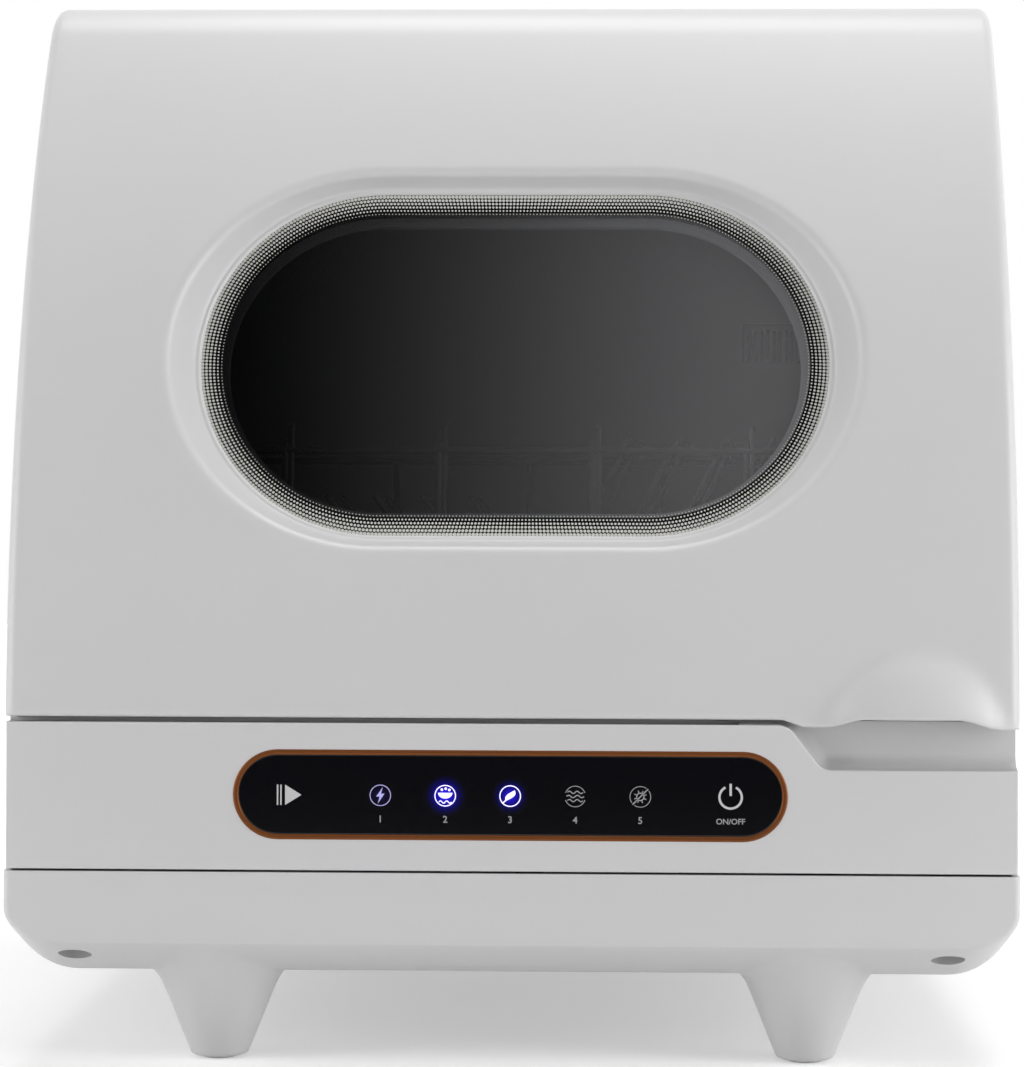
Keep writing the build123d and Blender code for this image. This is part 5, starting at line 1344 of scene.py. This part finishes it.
@dataclass
class KeyPanel:
    """Black panel with its printed key symbols.

    Each symbol is drawn from strokes and discs in millimetres round its own
    middle, so it stays a plain shape of its own.
    """

    fascia: Fascia
    finishes: dict[str, bpy.types.Material]
    key_places_mm: tuple[float, ...] = (-91.0, -53.4, -26.6, 0.2, 27.0, 53.8, 90.9)
    icon_rise_mm: float = -0.2
    label_drop_mm: float = 11.3

    def __post_init__(self) -> None:
        """Finds the front of the panel."""
        self.face_y = self.fascia.front + 0.0001
        self.inks = {
            Lamp.WHITE: printed("screen_print_white", "#C8C8C8", 0.4, 0.10),
            Lamp.GREY: printed("screen_print_grey", "#A2A2A4", 0.4, 0.04),
            Lamp.DIM: printed("screen_print_violet", "#A7A2D8", 0.4, 0.45),
            Lamp.LIT: printed("backlit_diffuser_white", "#D5CEFF", 0.4, 1.15),
        }

    def glass(self) -> None:
        """Builds the panel's face with a soft edge."""
        mesh = bmesh.new()
        row: list[bmesh.types.BMVert] = []
        inset = self.fascia.rim_width - 0.00005
        for grow, depth in ((0.0, 0.002), (0.0, 0.0004), (0.0001, 0.0002), (0.0003, 0.0001), (0.0005, 0.0001), (0.001, 0.0001)):
            path = oval_path(*self.fascia.panel_size, self.fascia.level, inset + grow)
            places = at_depth(path, self.fascia.front + depth)
            row = extend_rim(mesh, row, places) if row else [mesh.verts.new(p) for p in places]
        mesh.faces.new(row)
        bmesh.ops.recalc_face_normals(mesh, faces=mesh.faces)
        face = max(mesh.faces, key=lambda f: f.calc_area())
        if face.normal.y > 0:
            bmesh.ops.reverse_faces(mesh, faces=mesh.faces)
        finish_piece(mesh, "panel_face", "cabinet", self.finishes["key_glass"], ["control_glass"])

    def stroke(self, mesh: bmesh.types.BMesh, points: Sequence[tuple[float, float]], width: float,
               closed: bool = False) -> None:
        """Draws a line of constant width.

        Args:
            mesh: Mesh that gets it, in millimetres.
            points: Points along the line.
            width: Width of the line.
            closed: Whether the line closes.
        """
        path = [Vector(p) for p in points]
        left = set_off(path, width / 2, closed)
        right = set_off(path, -width / 2, closed)
        row = [mesh.verts.new((p.x, 0, p.y)) for p in left]
        extend_rim(mesh, row, [Vector((p.x, 0, p.y)) for p in right], closed)

    def ring(self, mesh: bmesh.types.BMesh, radius: float, width: float, start: float = 0.0,
             end: float = 360.0, middle: tuple[float, float] = (0, 0)) -> None:
        """Draws a ring or an arc, angles in degrees from the right, against the clock."""
        full = abs(end - start) >= 360
        turns = arc_angles(start, end, 40)
        points = [(middle[0] + radius * math.cos(a), middle[1] + radius * math.sin(a))
                  for a in (turns[:-1] if full else turns)]
        self.stroke(mesh, points, width, full)

    def patch(self, mesh: bmesh.types.BMesh, points: Sequence[tuple[float, float]]) -> None:
        """Draws a filled outline."""
        mesh.faces.new([mesh.verts.new((x, 0, z)) for x, z in points])

    def disc(self, mesh: bmesh.types.BMesh, radius: float, middle: tuple[float, float] = (0, 0)) -> None:
        """Draws a filled disc."""
        self.patch(mesh, [(middle[0] + radius * math.cos(a), middle[1] + radius * math.sin(a))
                          for a in arc_angles(0, 360, 20)[:-1]])

    def draw_start(self, mesh: bmesh.types.BMesh) -> None:
        """Two bars and a triangle."""
        for place in (-4.9, -3.5):
            self.stroke(mesh, [(place, -4.2), (place, 4.2)], 0.62)
        self.patch(mesh, [(-1.8, -4.2), (5.0, 0.0), (-1.8, 4.2)])

    def draw_short(self, mesh: bmesh.types.BMesh) -> None:
        """A flash inside an open ring."""
        self.ring(mesh, 4.25, 0.32)
        self.patch(mesh, [(1.0, 3.4), (-1.7, -0.5), (-0.3, -0.5), (-1.0, -3.4), (1.7, 0.7), (0.3, 0.7)])

    def draw_strong(self, mesh: bmesh.types.BMesh) -> None:
        """A bowl over two waves."""
        self.ring(mesh, 4.25, 0.42)
        self.patch(mesh, [(-3.0, 1.2)] + [(3.0 * math.cos(a), 1.2 + 2.4 * math.sin(a))
                                          for a in arc_angles(-175, -5, 12)] + [(3.0, 1.2)])
        self.disc(mesh, 0.55, (-1.4, 2.5))
        self.disc(mesh, 0.55, (0.2, 2.9))
        self.disc(mesh, 0.55, (1.7, 2.4))
        self.wave(mesh, -2.6, 2.6)

    def draw_leaf(self, mesh: bmesh.types.BMesh) -> None:
        """A leaf with its stalk."""
        self.ring(mesh, 4.25, 0.42)
        side = [(2.5 * math.sin(t * math.pi) - 2.6 + 5.2 * t, -2.4 + 5.2 * t) for t in (i / 10 for i in range(11))]
        back = [(-2.2 * math.sin(t * math.pi) - 2.6 + 5.2 * t, -2.4 + 5.2 * t) for t in (i / 10 for i in range(9, 0, -1))]
        self.patch(mesh, [(x * 0.72, z * 0.85) for x, z in side + back])
        self.stroke(mesh, [(-3.2, -3.0), (-1.8, -1.8)], 0.5)

    def wave(self, mesh: bmesh.types.BMesh, level: float, half: float) -> None:
        """Draws one wavy line."""
        points = [(-half + 2 * half * i / 16, level + 0.5 * math.sin(4 * math.pi * i / 16)) for i in range(17)]
        self.stroke(mesh, points, 0.42)

    def draw_dry(self, mesh: bmesh.types.BMesh) -> None:
        """Three waves in an open ring."""
        self.ring(mesh, 4.25, 0.3, 20, 160)
        self.ring(mesh, 4.25, 0.3, 200, 340)
        for level, half in ((1.7, 3.2), (0.0, 3.6), (-1.7, 3.2)):
            self.wave(mesh, level, half)

    def draw_clean(self, mesh: bmesh.types.BMesh) -> None:
        """A round germ, struck out."""
        self.ring(mesh, 4.25, 0.3, 55, 215)
        self.ring(mesh, 4.25, 0.3, 235, 395)
        self.ring(mesh, 1.5, 0.45)
        for step in range(8):
            turn = math.radians(45 * step + 20)
            inner, outer = 1.7, 2.7
            self.stroke(mesh, [(inner * math.cos(turn), inner * math.sin(turn)),
                               (outer * math.cos(turn), outer * math.sin(turn))], 0.4)
        self.stroke(mesh, [(3.2, 3.2), (-3.2, -3.2)], 0.5)

    def draw_power(self, mesh: bmesh.types.BMesh) -> None:
        """An open ring with an upright bar."""
        self.ring(mesh, 4.6, 0.95, 118, 422)
        self.stroke(mesh, [(0.0, 0.6), (0.0, 5.6)], 1.0)

    def symbol(self, name: str, x_mm: float, lamp: Lamp, draw: Callable[[bmesh.types.BMesh], None]) -> None:
        """Makes one key symbol.

        Args:
            name: Name of the piece.
            x_mm: Its place across the panel.
            lamp: How it is lit.
            draw: Method that draws it.
        """
        mesh = bmesh.new()
        draw(mesh)
        level = self.fascia.level / MM + self.icon_rise_mm
        bmesh.ops.translate(mesh, verts=mesh.verts, vec=(x_mm, 0, level))
        bmesh.ops.scale(mesh, verts=mesh.verts, vec=(MM, MM, MM))
        bmesh.ops.translate(mesh, verts=mesh.verts, vec=(0, self.face_y - 0.00005, 0))
        for face in mesh.faces:
            face.normal_update()
            if face.normal.y > 0:
                face.normal_flip()
        finish_piece(mesh, name, "cabinet", self.inks[lamp])

    def halo(self, name: str, x_mm: float, reach_mm: float, core: str, edge: str, strength: float) -> None:
        """Makes the glow round a lit symbol."""
        mesh = bmesh.new()
        level = self.fascia.level / MM + self.icon_rise_mm
        centre = Vector((x_mm * MM, self.face_y - 0.00002, level * MM))
        bmesh.ops.create_circle(
            mesh, cap_ends=True, segments=48, radius=reach_mm * MM,
            matrix=Matrix.Translation(centre) @ Matrix.Rotation(math.radians(90), 4, "X"),
        )
        finish_piece(mesh, name, "cabinet",
                     halo_ink(name + "_ink", centre, reach_mm * MM, core, edge, strength))

    def label(self, name: str, text: str, x_mm: float, size_mm: float) -> None:
        """Prints a plain number or switch word below a symbol."""
        curve = bpy.data.curves.new(name, "FONT")
        curve.body = text
        curve.size = size_mm * MM
        curve.align_x = "CENTER"
        curve.resolution_u = 3
        curve.offset = 0.05 * MM
        holder = bpy.data.objects.new(name + "_text", curve)
        data = bpy.data.meshes.new_from_object(holder)
        bpy.data.objects.remove(holder)
        mesh = bmesh.new()
        mesh.from_mesh(data)
        bpy.data.meshes.remove(data)
        place = Vector((x_mm * MM, self.face_y - 0.00005, self.fascia.level - self.label_drop_mm * MM))
        bmesh.ops.transform(mesh, verts=mesh.verts,
                            matrix=Matrix.Translation(place) @ Matrix.Rotation(math.radians(90), 4, "X"))
        finish_piece(mesh, name, "cabinet", self.inks[Lamp.WHITE if text.isalpha() else Lamp.GREY])

    def build(self) -> None:
        """Builds the panel, its symbols, their glow and the plain numbers."""
        self.glass()
        symbols = (
            ("key_start", Lamp.WHITE, self.draw_start), ("key_short", Lamp.DIM, self.draw_short),
            ("key_strong", Lamp.LIT, self.draw_strong), ("key_leaf", Lamp.LIT, self.draw_leaf),
            ("key_dry", Lamp.GREY, self.draw_dry), ("key_clean", Lamp.GREY, self.draw_clean),
            ("key_power", Lamp.WHITE, self.draw_power),
        )
        for (name, lamp, draw), x_mm in zip(symbols, self.key_places_mm):
            self.symbol(name, x_mm, lamp, draw)
        self.halo("glow_short", self.key_places_mm[1], 6.5, "#3A2AA0", "#06031C", 0.30)
        self.halo("glow_strong", self.key_places_mm[2], 9.0, "#3020FF", "#0A04A0", 1.5)
        self.halo("glow_leaf", self.key_places_mm[3], 8.0, "#3020FF", "#0A04A0", 1.1)
        for number in range(1, 6):
            self.label(f"number_{number}", str(number), self.key_places_mm[number], 4.0)
        self.label("switch_word", "ON/OFF", self.key_places_mm[6], 3.3)


# ---------------------------------------------------------------- carried-over parts
@dataclass
class Casework:
    """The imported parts, each with its own finish."""

    finishes: dict[str, bpy.types.Material] = field(default_factory=dict)

    def build(self) -> None:
        """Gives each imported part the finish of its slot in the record."""
        self.finishes = {slot: finish.build() for slot, finish in FINISHES.items()}
        self.finishes["smoked_glass"] = smoked_glass()
        slots = {row["node"]: row["material_slot"] for row in frame["record"]["subparts"]}
        for name, node in frame["nodes"].items():
            node.data.materials.clear()
            node.data.materials.append(self.finishes[slots[name]])
            LOG.info("%s gets %s", name, slots[name])


def main() -> None:
    """Builds the scene in order."""
    logging.basicConfig(level=logging.INFO)
    Studio().build()
    casework = Casework()
    casework.build()
    shell = casework.finishes["case_plastic"]
    hood = Hood(material=shell)
    hood.build()
    Window(hood, casework.finishes).build()
    fascia = Fascia(finishes=casework.finishes)
    fascia.build()
    KeyPanel(fascia, casework.finishes).build()
    Tray(material=shell).build()


if __name__ == "__main__":
    main()
